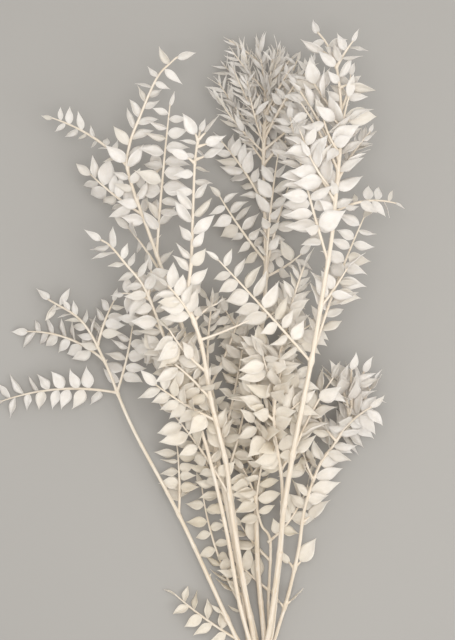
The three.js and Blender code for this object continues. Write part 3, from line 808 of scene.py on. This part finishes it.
def bladeSurface(leaf, t, s):
    # The middle surface of a blade, the way out from it, and the blade's own tint.
    v = bladeValues
    draw = drawsFor(leaf.wood.number + leaf.index + v["drawsFrom"])
    cup, fold, wave = draw(*v["cupDraw"]), draw(*v["foldDraw"]), draw(*v["waveDraw"])
    twist, sway, hook = math.radians(draw(*v["twistDraw"])), draw(*v["swayDraw"]), draw(*v["hookDraw"])
    phase, tint = draw(0, 1), draw(0, 1)
    share = bladeShare(t, draw(*v["tipDraw"]))
    half = leaf.width / 2 * share + mix(v["stalkHalf"], v["tipHalf"], stalkFade(t))
    lift = half * (cup * s ** 2 + fold * np.abs(s))
    lift = lift + wave * leaf.width / 2 * s * np.sin(2 * np.pi * (v["waves"] * t + phase)) * share
    lift = lift - (cup + fold) * half * v["sink"]
    turn = twist * (t - v["twistFrom"])
    x = t * leaf.length
    bow = (sway * t ** 2 + hook * t ** v["hookPower"]) * leaf.length
    y = s * half * np.cos(turn) - lift * np.sin(turn) + bow
    z = s * half * np.sin(turn) + lift * np.cos(turn) - leaf.arch * leaf.length * t ** 2
    middle = leaf.foot + x[..., None] * leaf.along + y[..., None] * leaf.across + z[..., None] * leaf.normal
    outward = np.cos(turn)[..., None] * leaf.normal - np.sin(turn)[..., None] * leaf.across
    return middle, outward, tint


def addBlade(shape, leaf, grid, faces):
    v = bladeValues
    t, s = grid
    middle, outward, tint = bladeSurface(leaf, t, s)
    thick = mix(v["thickness"], v["edgeThickness"], s ** 2)[..., None] / 2
    rib = (v["midrib"] * (s == 0) * (1 - t) ** v["midribPower"])[..., None]
    places = np.stack([s, t, np.full_like(s, tint)], axis=-1)
    skins = np.stack([middle + outward * thick, middle - outward * (thick + rib)])
    # What is past the bunch's own box is bent back into it.
    over = np.maximum((skins - (highCorner - v["boxEdge"])).max(axis=(0, 1, 2)), 0)
    under = np.maximum((lowCorner + v["boxEdge"] - skins).max(axis=(0, 1, 2)), 0)
    skins = skins + (under - over) * stalkFade(t)[..., None]
    first = addPoints(shape, skins, [places, places])
    skin, rim = faces
    addFaces(shape, (skin + first).tolist())
    addFaces(shape, (rim + first).tolist(), smooth=False)


barkValues = {
    "stemSides": 14,
    "twigSides": 9,
    "stemStep": 3,
    "twigStep": 2,
    "twigTip": 0.6,  # the thickness of a twig's tip, as a share of that in the frame
    "leafKnee": (0.12, 1.8),  # how far the wood swells at a leaf's foot, and over what length
    "twigKnee": (0.28, 4),
    "bareKnee": (0.16, 2.4),
    "collar": (0.35, 3),  # at the root of a twig
    "kneeGapDraw": (38, 70),
    "kneeDraws": 7,  # what a stem's number is raised by for these draws
    "cutSlant": 32,
    "barkShifts": 977,  # sets the bark of one stem or twig apart from the next one's
}


def kneesOf(wood, twigs):
    # Where the wood swells: [length along it, how far, over what length].
    v = barkValues
    knees = [(leaf.u * wood.curve.length, *v["leafKnee"]) for leaf in placed.leaves if leaf.wood is wood]
    for twig in twigs:
        u = shareAtHeight(wood.curve, twig.curve.pointOf(0)[1])
        knees.append((u * wood.curve.length, *v["twigKnee"]))
    return knees


def bareKnees(wood):
    # The leafless knees of a stem, from above the tie to its first leaf.
    v = barkValues
    draw = drawsFor(wood.number + v["kneeDraws"])
    places = []
    at = shareAtHeight(wood.curve, tieLayout["width"]) * wood.curve.length + draw(*v["kneeGapDraw"])
    while at < wood.start * wood.curve.length:
        places.append(at)
        at += draw(*v["kneeGapDraw"])
    return places


def swelling(lengths, knees):
    total = np.ones_like(lengths)
    for at, height, reach in knees:
        total = total + height * np.exp(-((lengths - at) / reach) ** 2)
    return total


def addWood(shape, wood, twigs=()):
    v = barkValues
    length = wood.curve.length
    count = math.ceil(length / v["stemStep" if wood.isStem else "twigStep"]) + 1
    shares = np.linspace(0, 1, count)
    centres = np.array([placeAt(wood.curve, u) for u in shares])
    headings = np.array([headingAt(wood.curve, u) for u in shares])
    knees = kneesOf(wood, twigs)
    thin = wood.thin * (1 if wood.isStem else v["twigTip"])
    if wood.isStem:
        knees += [(at, *v["bareKnee"]) for at in bareKnees(wood)]
    else:
        knees.append((wood.thick, *v["collar"]))
    radii = mix(wood.thick, thin, shares ** 2) * swelling(shares * length, knees)
    lengths = shares * length + wood.number % v["barkShifts"]
    sides = v["stemSides" if wood.isStem else "twigSides"]
    rings, places = ringsAlong(centres, headings, radii, lengths, sides)
    if wood.isStem:
        slant = math.tan(math.radians(v["cutSlant"]))
        rings[0] += headings[0] * ((radii[0] - places[0, :, 0]) * slant)[:, None]
    addTube(shape, rings, places, startFinish=1 if wood.isStem else 0)


stubValues = {
    "sizeDraw": (-0.6, 1),  # there is no stub where it is below 0
    "reach": 4,
    "shortest": 0.4,  # the length of the smallest stub, as a share of its reach
    "lean": 0.7,  # how far it leans up along the stem
    "profile": [(0, 0.95), (0.6, 0.68), (0.9, 0.5), (1, 0.25)],  # shares of its length, with radii
    "sides": 8,
    "draws": 11,  # what a stem's number is raised by for these draws
}


def addStubs(shape, wood):
    # Short dried side shoots on the leafless stretch of a stem.
    v = stubValues
    draw = drawsFor(wood.number + v["draws"])
    shares, radii = np.array(v["profile"]).T
    for at in bareKnees(wood):
        u = at / wood.curve.length
        ahead, start = headingAt(wood.curve, u), placeAt(wood.curve, u)
        angle, size = draw(0, 2 * math.pi), draw(*v["sizeDraw"])
        if size < 0:
            continue
        out = turned(unit(np.cross(ahead, np.array([0, 0, 1]))), ahead, angle)
        heading = unit(out + ahead * v["lean"])
        lengths = shares * (radiusAt(wood, u) + v["reach"] * (v["shortest"] + size))
        centres = start + heading * lengths[:, None]
        headings = np.tile(heading, (len(shares), 1))
        rings, places = ringsAlong(centres, headings, radii, lengths + at, v["sides"])
        addTube(shape, rings, places)


tieValues = {
    "turns": 5,
    "strandRadius": 0.8,
    "plies": 3,
    "plyDepth": 0.22,  # how deep the grooves between the plies are, as a share of the radius
    "plyTwist": 5,  # millimetres along the strand for one turn of the plies
    "sides": 15,
    "step": 0.7,
    "firstSide": (0.3, 0.9, 0.2),  # a direction that no strand starts in
    "knotSize": 1.25,
    "knotRise": 1.5,
    "knotLoops": 1.6,  # how far the knot's three loops reach out
    "knotDepth": 0.75,  # how far they pass above and below each other
    "knotPoints": 90,
    "ends": [(6, -1), (3, 1)],  # the stem that each loose end lies on, and down or up along it
    "endReach": 17,
    "endFrom": 0.35,  # where it comes to lie on the stem, as a share of its reach
    "endPlaces": 8,
    "endPoints": 40,
    "endTaper": 0.5,
    "taperPower": 6,
}


def convexOutline(points):
    # The corners of a string that is pulled tight round all the points.
    points = sorted(set(points))

    def chain(order):
        kept = []
        for p in order:
            while len(kept) > 1 and ((kept[-1][0] - kept[-2][0]) * (p[1] - kept[-2][1])
                                     <= (kept[-1][1] - kept[-2][1]) * (p[0] - kept[-2][0])):
                kept.pop()
            kept.append(p)
        return kept[:-1]

    return np.array(chain(points) + chain(points[::-1]))


def strandPath(points, step):
    # Points a short step apart along a chain of points.
    points = np.asarray(points, float)
    lengths = np.concatenate([[0], np.cumsum(np.linalg.norm(np.diff(points, axis=0), axis=1))])
    at = np.linspace(0, lengths[-1], int(lengths[-1] / step))
    return np.stack([np.interp(at, lengths, points[:, i]) for i in range(3)], axis=-1), at


def addStrand(shape, points, taper=0):
    # A twisted strand of twine. Its section is carried along, so that it doesn't turn at a bend.
    v = tieValues
    centres, at = strandPath(points, v["step"])
    headings = np.gradient(centres, axis=0)
    headings /= np.linalg.norm(headings, axis=1)[:, None]
    side = unit(np.cross(headings[0], np.array(v["firstSide"])))
    angles = 2 * np.pi * np.arange(v["sides"]) / v["sides"]
    rings, places = [], []
    for centre, ahead, length in zip(centres, headings, at):
        side = unit(side - ahead * (side @ ahead))
        other = np.cross(ahead, side)
        twisted = angles - 2 * np.pi * length / v["plyTwist"]
        groove = np.abs(np.sin(v["plies"] / 2 * twisted))
        radius = v["strandRadius"] * (1 - v["plyDepth"] * (1 - groove) ** 2)
        radius = radius * (1 - taper * (length / at[-1]) ** v["taperPower"])
        x, y = radius * np.cos(angles), radius * np.sin(angles)
        rings.append(centre + side * x[:, None] + other * y[:, None])
        places.append(np.stack([twisted, np.full_like(x, length), groove], axis=-1))
    addTube(shape, np.array(rings), np.array(places))


def twineLoop():
    # The way of the twine round the bunch, from its top and back to it.
    corners = convexOutline(tieOutline(tieLayout["gap"] + tieValues["strandRadius"]))
    loop = np.roll(corners, -corners[:, 1].argmax(), axis=0)
    return np.vstack([loop, loop[:1]])


def turnsPath(loop):
    # The turns lie side by side, each goes on into the next, and none is lower than the frame's tie.
    v = tieValues
    outline = tieOutline(tieLayout["gap"] + tieLayout["thickness"])
    sole = min(z for _, z in outline) + v["strandRadius"]
    reach = tieLayout["width"] / 2 - v["strandRadius"]
    shares = np.linspace(0, 1, len(loop))
    turns = []
    for turn in range(v["turns"]):
        low, high = [mix(-1, 1, (turn + k) / v["turns"]) for k in (0, 1)]
        along = mix(low, high, shares) * reach
        turns.append(np.stack([loop[:, 0], along, np.maximum(loop[:, 1], sole)], axis=-1))
    return np.concatenate(turns)


def knotPath(middle):
    # A knot with three loops.
    v = tieValues
    angles = np.linspace(0, 2 * np.pi, v["knotPoints"])
    across = np.sin(angles) + v["knotLoops"] * np.sin(2 * angles)
    along = np.cos(angles) - v["knotLoops"] * np.cos(2 * angles)
    rise = -v["knotDepth"] * np.sin(3 * angles)
    return middle + np.stack([across, along, rise], axis=-1) * v["knotSize"]


def endPath(knot, wood, side):
    # A loose end, from the knot to the top of a stem and along it.
    v = tieValues
    path = [knot]
    for share in np.linspace(v["endFrom"], 1, v["endPlaces"]):
        u = shareAtHeight(wood.curve, side * share * v["endReach"])
        path.append(placeAt(wood.curve, u) + np.array([0, 0, radiusAt(wood, u) + v["strandRadius"]]))
    curve = splineOf(path)
    return [placeAt(curve, u) for u in np.linspace(0, 1, v["endPoints"])]


def tieShape():
    v = tieValues
    shape = newShape()
    loop = twineLoop()
    knot = np.array([loop[0, 0], 0, loop[0, 1] + v["strandRadius"] * v["knotRise"]])
    addStrand(shape, turnsPath(loop))
    addStrand(shape, knotPath(knot))
    for stemIndex, side in v["ends"]:
        addStrand(shape, endPath(knot, mainStems[stemIndex], side), taper=v["endTaper"])
    return shape


def feed(tree, socket, value):
    # The value may be the output socket of another node.
    if isinstance(value, bpy.types.NodeSocket):
        tree.links.new(value, socket)
    else:
        socket.default_value = value


def addNode(tree, kind, inputs=(), **settings):
    node = tree.nodes.new("ShaderNode" + kind)
    for name, value in settings.items():
        setattr(node, name, value)
    for name, value in dict(inputs).items():
        feed(tree, node.inputs[name], value)
    return node


def mathOf(tree, operation, a, b=0.0):
    return addNode(tree, "Math", {0: a, 1: b}, operation=operation).outputs[0]


def partsOf(tree, vector):
    return addNode(tree, "SeparateXYZ", {0: vector}).outputs


def vectorOf(tree, x, y, z):
    return addNode(tree, "CombineXYZ", {0: x, 1: y, 2: z}).outputs[0]


def rampOf(tree, value, low, high, start=0.0, end=1.0):
    # Goes smoothly from start to end while the value goes from low to high.
    return addNode(tree, "MapRange", {"Value": value, "From Min": low, "From Max": high, "To Min": start,
                                      "To Max": end}, interpolation_type="SMOOTHSTEP").outputs[0]


def noiseOf(tree, place, scale, detail, roughness):
    return addNode(tree, "TexNoise", {"Vector": place, "Scale": scale, "Detail": detail,
                                      "Roughness": roughness}).outputs[0]


def blendOf(tree, share, a, b, mode="MIX"):
    node = addNode(tree, "Mix", data_type="RGBA", blend_type=mode)
    for name, value in (("Factor_Float", share), ("A_Color", a), ("B_Color", b)):
        feed(tree, next(s for s in node.inputs if s.identifier == name), value)
    return next(s for s in node.outputs if s.identifier == "Result_Color")


def layOver(tree, base, mask, strength, tint):
    # Lays another colour over the base, where the mask is and at some strength.
    return blendOf(tree, mathOf(tree, "MULTIPLY", mask, strength), base, tint)


def bumpOf(tree, height, distance, strength=1.0):
    return addNode(tree, "Bump", {"Height": height, "Distance": distance, "Strength": strength}).outputs[0]


def newGroup(name, inputs, outputs):
    tree = bpy.data.node_groups.new(name, "ShaderNodeTree")
    for label, value in inputs.items():
        kind = "NodeSocketVector" if value is None else "NodeSocketFloat"
        socket = tree.interface.new_socket(name=label, in_out="INPUT", socket_type=kind)
        if value is not None:
            socket.default_value = value
    for label in outputs:
        tree.interface.new_socket(name=label, in_out="OUTPUT", socket_type="NodeSocketFloat")
    return tree, tree.nodes.new("NodeGroupInput").outputs, tree.nodes.new("NodeGroupOutput").inputs


def fibreGroup():
    # Fine streaks that run along a stem, leaf or strand, from the place of a point on it.
    tree, source, result = newGroup(
        "plantFibre", {"Place": None, "Across": 3.0, "Along": 0.08}, ["Fibre", "Streak"])
    x, y, z = partsOf(tree, source["Place"])
    stretched = vectorOf(
        tree, mathOf(tree, "MULTIPLY", x, source["Across"]), mathOf(tree, "MULTIPLY", y, source["Across"]),
        mathOf(tree, "MULTIPLY", z, source["Along"]))
    fine = noiseOf(tree, stretched, scale=2.2, detail=4.0, roughness=0.6)
    broad = noiseOf(tree, stretched, scale=0.7, detail=2.0, roughness=0.5)
    tree.links.new(rampOf(tree, fine, low=0.35, high=0.65), result["Fibre"])
    tree.links.new(rampOf(tree, broad, low=0.4, high=0.62), result["Streak"])
    return tree


def mottleGroup():
    # Uneven bleaching: soft blotches, and small darker specks in some of them. Size is in millimetres.
    tree, source, result = newGroup("bleachMottle", {"Size": 6.0, "Specks": 0.5}, ["Blotch", "Speck"])
    place = addNode(tree, "TexCoord").outputs["Object"]
    scale = mathOf(tree, "DIVIDE", 1 / mm, source["Size"])
    finer = mathOf(tree, "MULTIPLY", scale, 5.0)
    blotch = noiseOf(tree, place, scale, detail=3.0, roughness=0.55)
    speck = noiseOf(tree, place, finer, detail=1.0, roughness=0.5)
    dark = mathOf(tree, "MULTIPLY", rampOf(tree, speck, low=0.66, high=0.76), source["Specks"])
    within = rampOf(tree, blotch, low=0.4, high=0.6)
    tree.links.new(rampOf(tree, blotch, low=0.32, high=0.68), result["Blotch"])
    tree.links.new(mathOf(tree, "MULTIPLY", dark, within), result["Speck"])
    return tree


def deepShadeGroup():
    # Where painted shade falls, deep in the bunch: 0 at the tips and the sides, 1 low down in the middle.
    # The
    #  inputs are places along and across the bunch, in metres, and the share of Half that is all deep.
    tree, source, result = newGroup("paintedShadeDeepInTheBunch", {
        "Tips": 0.25, "Ends": -0.15, "Middle": 0.05, "Half": 0.14, "Core": 0.3}, ["Share"])
    x, y, _ = partsOf(tree, addNode(tree, "TexCoord").outputs["Object"])
    low = rampOf(tree, y, source["Ends"], source["Tips"], start=1.0, end=0.0)
    aside = mathOf(tree, "ABSOLUTE", mathOf(tree, "SUBTRACT", x, source["Middle"]))
    inner = mathOf(tree, "MULTIPLY", source["Half"], source["Core"])
    near = rampOf(tree, aside, inner, source["Half"], start=1.0, end=0.0)
    tree.links.new(mathOf(tree, "MULTIPLY", low, near), result["Share"])
    return tree


sharedGroups = {"fibre": fibreGroup(), "mottle": mottleGroup(), "depth": deepShadeGroup()}


def groupOf(tree, name, inputs=()):
    return addNode(tree, "Group", inputs, node_tree=sharedGroups[name]).outputs


def newFinish(name):
    material = bpy.data.materials.new(name)
    material.use_nodes = True
    material.node_tree.nodes.clear()
    return material, material.node_tree


def placeOf(tree):
    # Where a point is on its own leaf, stem or strand.
    return addNode(tree, "Attribute", attribute_name="place").outputs["Vector"]


def showOn(tree, shader):
    addNode(tree, "OutputMaterial", {"Surface": shader.outputs[0]})


def colour(red, green, blue):
    return (red, green, blue, 1.0)


# In each finish, a plural name gives how strongly something shows: 0 is not at all and 1 is fully.
# A blotch's size is in millimetres, and relief, the depth of the bumps, in metres.
leafFinish = {
    "pale": colour(0.94, 0.912, 0.885),
    "shaded": colour(0.86, 0.818, 0.765),
    "deepShadeCream": colour(1.0, 0.968, 0.89),  # painted warm shade: it multiplies the leaves deep in the bunch, where shade falls
    "straw": colour(0.80, 0.72, 0.56),
    "rib": colour(0.92, 0.89, 0.82),
    "blotches": 0.6,
    "blotchSize": 6.0,
    "specks": 0.5,
    "fibres": 0.12,
    "fibreScale": {"Across": 9.0, "Along": 1.6},
    "ribs": 0.5,
    "ribEdge": (0.02, 0.1),  # where the midrib starts to fade and where it ends
    "veins": 0.5,
    "veinCount": 5,  # on each side of the midrib, with the last one at the edge
    "veinEdge": 0.45,
    "agedLeaves": 0.3,
    "agedFrom": 0.75,  # the share of the leaves that haven't aged
    "dryTips": 0.5,
    "dryFrom": 0.93,
    "relief": 0.00028,
    "reliefStrength": 0.8,
    "roughness": (0.46, 0.62),  # of the pale parts and of the blotches
    "gloss": 0.4,
    "through": 0.3,  # the share of the light that comes through from behind
    "throughColour": colour(0.98, 0.94, 0.86),
    "throughTints": 0.6,
}


def leafMaterial():
    v = leafFinish
    material, tree = newFinish("bleachedLeaf")
    across, along, tint = partsOf(tree, placeOf(tree))
    rib = rampOf(tree, mathOf(tree, "ABSOLUTE", across), *v["ribEdge"], start=1.0, end=0.0)
    wave = mathOf(tree, "SINE", mathOf(tree, "MULTIPLY", across, math.pi * v["veinCount"]))
    vein = rampOf(tree, mathOf(tree, "ABSOLUTE", wave), 0.0, v["veinEdge"], start=1.0, end=0.0)
    place = vectorOf(tree, across, tint, along)
    fibre = groupOf(tree, "fibre", {"Place": place, **v["fibreScale"]})["Fibre"]
    mottle = groupOf(tree, "mottle", {"Size": v["blotchSize"], "Specks": v["specks"]})
    aged = rampOf(tree, tint, v["agedFrom"], 1.0, end=v["agedLeaves"])
    dryTip = rampOf(tree, along, v["dryFrom"], 1.0, end=v["dryTips"])
    base = layOver(tree, v["pale"], mottle["Blotch"], v["blotches"], v["shaded"])
    base = blendOf(tree, aged, base, v["straw"])
    base = layOver(tree, base, vein, v["veins"], v["shaded"])
    base = layOver(tree, base, fibre, v["fibres"], v["rib"])
    base = layOver(tree, base, rib, v["ribs"], v["rib"])
    base = layOver(tree, base, dryTip, tint, v["straw"])
    base = blendOf(tree, mottle["Speck"], base, v["straw"])
    # Painted warm shade: the leaves deep in the bunch are multiplied by a cream colour.
    base = blendOf(tree, groupOf(tree, "depth")["Share"], base, v["deepShadeCream"], "MULTIPLY")
    height = mathOf(tree, "MULTIPLY", mathOf(tree, "ADD", vein, fibre), 0.5)
    bump = bumpOf(tree, height, v["relief"], v["reliefStrength"])
    front = addNode(tree, "BsdfPrincipled", {
        "Base Color": base, "Roughness": rampOf(tree, mottle["Blotch"], 0.0, 1.0, *v["roughness"]),
        "Normal": bump, "Specular IOR Level": v["gloss"]})
    light = blendOf(tree, v["throughTints"], base, v["throughColour"], "MULTIPLY")
    behind = addNode(tree, "BsdfTranslucent", {"Color": light, "Normal": bump})
    showOn(tree, addNode(tree, "MixShader", {0: v["through"], 1: front.outputs[0], 2: behind.outputs[0]}))
    return material


stemFinish = {
    "pale": colour(0.78, 0.72, 0.635),
    "warm": colour(0.62, 0.50, 0.35),
    "blush": colour(0.77, 0.68, 0.57),
    "streaks": 0.45,
    "deepShadeStreaks": 0.35,  # painted shade: added to the streaks deep in the bunch
    "deep": {"Tips": 0.1, "Ends": -0.25},
    "blotches": 0.5,
    "blotchSize": 26.0,
    "specks": 0.6,
    "fibres": 0.35,
    "fibreScale": {"Across": 1.4, "Along": 0.05},
    "relief": 0.0003,
    "reliefStrength": 0.7,
    "reliefShares": (0.6, 0.4),  # of the fibres and of the streaks
    "roughness": (0.45, 0.65),
    "gloss": 0.45,
}


def stemMaterial():
    v = stemFinish
    material, tree = newFinish("bleachedStem")
    grain = groupOf(tree, "fibre", {"Place": placeOf(tree), **v["fibreScale"]})
    mottle = groupOf(tree, "mottle", {"Size": v["blotchSize"], "Specks": v["specks"]})
    # The streaks are the stem's own; deep in the bunch they are made stronger as painted shade.
    deep = mathOf(tree, "MULTIPLY", groupOf(tree, "depth", v["deep"])["Share"], v["deepShadeStreaks"])
    base = layOver(tree, v["pale"], grain["Streak"], mathOf(tree, "ADD", deep, v["streaks"]), v["warm"])
    base = layOver(tree, base, mottle["Blotch"], v["blotches"], v["blush"])
    base = layOver(tree, base, grain["Fibre"], v["fibres"], v["warm"])
    base = blendOf(tree, mottle["Speck"], base, v["warm"])
    heights = [mathOf(tree, "MULTIPLY", grain[name], share)
               for name, share in zip(("Fibre", "Streak"), v["reliefShares"])]
    skin = addNode(tree, "BsdfPrincipled", {
        "Base Color": base, "Roughness": rampOf(tree, grain["Fibre"], 0.0, 1.0, *v["roughness"]),
        "Normal": bumpOf(tree, mathOf(tree, "ADD", *heights), v["relief"], v["reliefStrength"]),
        "Specular IOR Level": v["gloss"]})
    showOn(tree, skin)
    return material


cutFinish = {
    "wood": colour(0.74, 0.62, 0.42),
    "pith": colour(0.86, 0.81, 0.70),
    "pithEdge": (0.5, 1.1),  # how far from the middle the pith starts to fade and ends
    "rind": colour(0.52, 0.38, 0.22),
    "rindEdge": (1.7, 2.2),
    "fibres": 0.35,
    "fibreScale": {"Across": 4.0, "Along": 1.0},
    "relief": 0.0002,
    "roughness": 0.85,
}


def cutMaterial():
    # A cut end: a pale pith, wood round it, and a darker rind.
    v = cutFinish
    material, tree = newFinish("cutStem")
    place = placeOf(tree)
    squares = [mathOf(tree, "MULTIPLY", part, part) for part in partsOf(tree, place)[:2]]
    outward = mathOf(tree, "SQRT", mathOf(tree, "ADD", *squares))
    fibre = groupOf(tree, "fibre", {"Place": place, **v["fibreScale"]})["Fibre"]
    base = blendOf(tree, rampOf(tree, outward, *v["pithEdge"]), v["pith"], v["wood"])
    base = blendOf(tree, rampOf(tree, outward, *v["rindEdge"]), base, v["rind"])
    base = layOver(tree, base, fibre, v["fibres"], v["rind"])
    bump = bumpOf(tree, fibre, v["relief"])
    showOn(tree, addNode(tree, "BsdfPrincipled", {
        "Base Color": base, "Roughness": v["roughness"], "Normal": bump}))
    return material


twineFinish = {
    "pale": colour(0.58, 0.43, 0.25),
    "dark": colour(0.30, 0.20, 0.10),
    # painted shade: the groove colour darkens the grooves between the plies, where shade falls
    "groove": colour(0.16, 0.10, 0.05),
    "grooves": 0.85,
    "grooveShadeEdge": 0.5,
    "blotches": 0.4,
    "blotchSize": 3.0,
    "fibreScale": {"Across": 3.5, "Along": 0.35},
    "relief": 0.0003,
    "roughness": 0.9,
    "sheen": 0.2,
}


def twineMaterial():
    v = twineFinish
    material, tree = newFinish("twine")
    angle, along, groove = partsOf(tree, placeOf(tree))
    place = vectorOf(tree, mathOf(tree, "SINE", angle), mathOf(tree, "COSINE", angle), along)
    fibre = groupOf(tree, "fibre", {"Place": place, **v["fibreScale"]})["Fibre"]
    blotch = groupOf(tree, "mottle", {"Size": v["blotchSize"]})["Blotch"]
    base = blendOf(tree, fibre, v["pale"], v["dark"])
    base = layOver(tree, base, blotch, v["blotches"], v["pale"])
    # Painted shade in the grooves between the plies.
    base = blendOf(tree, rampOf(tree, groove, 0.0, v["grooveShadeEdge"], v["grooves"], 0.0), base, v["groove"])
    bump = bumpOf(tree, fibre, v["relief"])
    showOn(tree, addNode(tree, "BsdfPrincipled", {
        "Base Color": base, "Roughness": v["roughness"], "Normal": bump, "Sheen Weight": v["sheen"]}))
    return material


leafSkin, stemSkin, cutSkin, twineSkin = leafMaterial(), stemMaterial(), cutMaterial(), twineMaterial()
print("finishes made")

grid, faces = bladeGrid(), bladeFaces()

for index, stem in enumerate(stems):
    parent, *twigs = [wood for wood in woods if wood.stem == index]
    wooden = newShape()
    addWood(wooden, parent, twigs)
    addStubs(wooden, parent)
    for twig in twigs:
        addWood(wooden, twig)
    makePiece(stem["name"] + "-wood", wooden, [stemSkin, cutSkin], stem["name"])
    leafy = newShape()
    for leaf in placed.leaves:
        if leaf.wood.stem == index:
            addBlade(leafy, leaf, grid, faces)
    makePiece(stem["name"] + "-leaves", leafy, [leafSkin], stem["name"])
    print(stem["name"], "made")

makePiece("tie-twine", tieShape(), [twineSkin], "tie")
print("tie made")


studio = {
    "floorColour": colour(0.34, 0.327, 0.308),
    "floorBlotch": colour(0.32, 0.31, 0.295),
    "floorBlotches": 0.04,
    "floorBlotchSize": 60.0,
    "floorRoughness": 0.9,
    "floorHalf": 40.0,
    "skyColour": colour(1.0, 0.985, 0.96),
    "skyStrength": 0.86,
    "keyPlace": (0.1, 0.1, 1.4),
    "keySize": 0.7,
    "keyPower": 8.8,
    "fillPlace": (1.0, -0.5, 1.4),
    "fillSize": 1.2,
    "fillPower": 7.5,
    "lampTarget": (0, 0, 0.05),
    "viewCentre": (-35.75, 387.2),  # what the camera looks down on, in the layout's millimetres
    "viewLevel": 70,
    "viewDistance": 1500,
    "viewHeight": 704,  # the height of the view at that level
    "filmHeight": 36,
}


def addFloor():
    v, half = studio, studio["floorHalf"]
    mesh = bpy.data.meshes.new("floor")
    corners = [(-half, -half, 0), (half, -half, 0), (half, half, 0), (-half, half, 0)]
    mesh.from_pydata(corners, [], [(0, 1, 2, 3)])
    material, tree = newFinish("paleFloor")
    blotch = groupOf(tree, "mottle", {"Size": v["floorBlotchSize"]})["Blotch"]
    base = layOver(tree, v["floorColour"], blotch, v["floorBlotches"], v["floorBlotch"])
    showOn(tree, addNode(tree, "BsdfPrincipled", {"Base Color": base, "Roughness": v["floorRoughness"]}))
    mesh.materials.append(material)
    floor = bpy.data.objects.new("floor", mesh)
    bpy.context.scene.collection.objects.link(floor)


def addLamp(name):
    place = Vector(studio[name + "Place"])
    data = bpy.data.lights.new(name + "Light", "AREA")
    data.shape = "DISK"
    data.size = studio[name + "Size"]
    data.energy = studio[name + "Power"]
    lamp = bpy.data.objects.new(name + "Light", data)
    bpy.context.scene.collection.objects.link(lamp)
    lamp.location = place
    lamp.rotation_euler = (Vector(studio["lampTarget"]) - place).to_track_quat("-Z", "Y").to_euler()
    lamp.visible_camera = False


def addSky():
    world = bpy.data.worlds.new("softSky")
    world.use_nodes = True
    background = world.node_tree.nodes["Background"]
    background.inputs["Color"].default_value = studio["skyColour"]
    background.inputs["Strength"].default_value = studio["skyStrength"]
    bpy.context.scene.world = world


def addCamera():
    x, y = studio["viewCentre"]
    data = bpy.data.cameras.new("camera")
    data.sensor_fit = "VERTICAL"
    data.sensor_height = studio["filmHeight"]
    data.lens = studio["filmHeight"] * studio["viewDistance"] / studio["viewHeight"]
    camera = bpy.data.objects.new("camera", data)
    bpy.context.scene.collection.objects.link(camera)
    camera.location = toFrame((x, y, studio["viewLevel"] + studio["viewDistance"]))
    bpy.context.scene.camera = camera


bpy.context.scene.view_settings.view_transform = "Standard"
addFloor()
addSky()
addLamp("key")
addLamp("fill")
addCamera()
print("studio made")
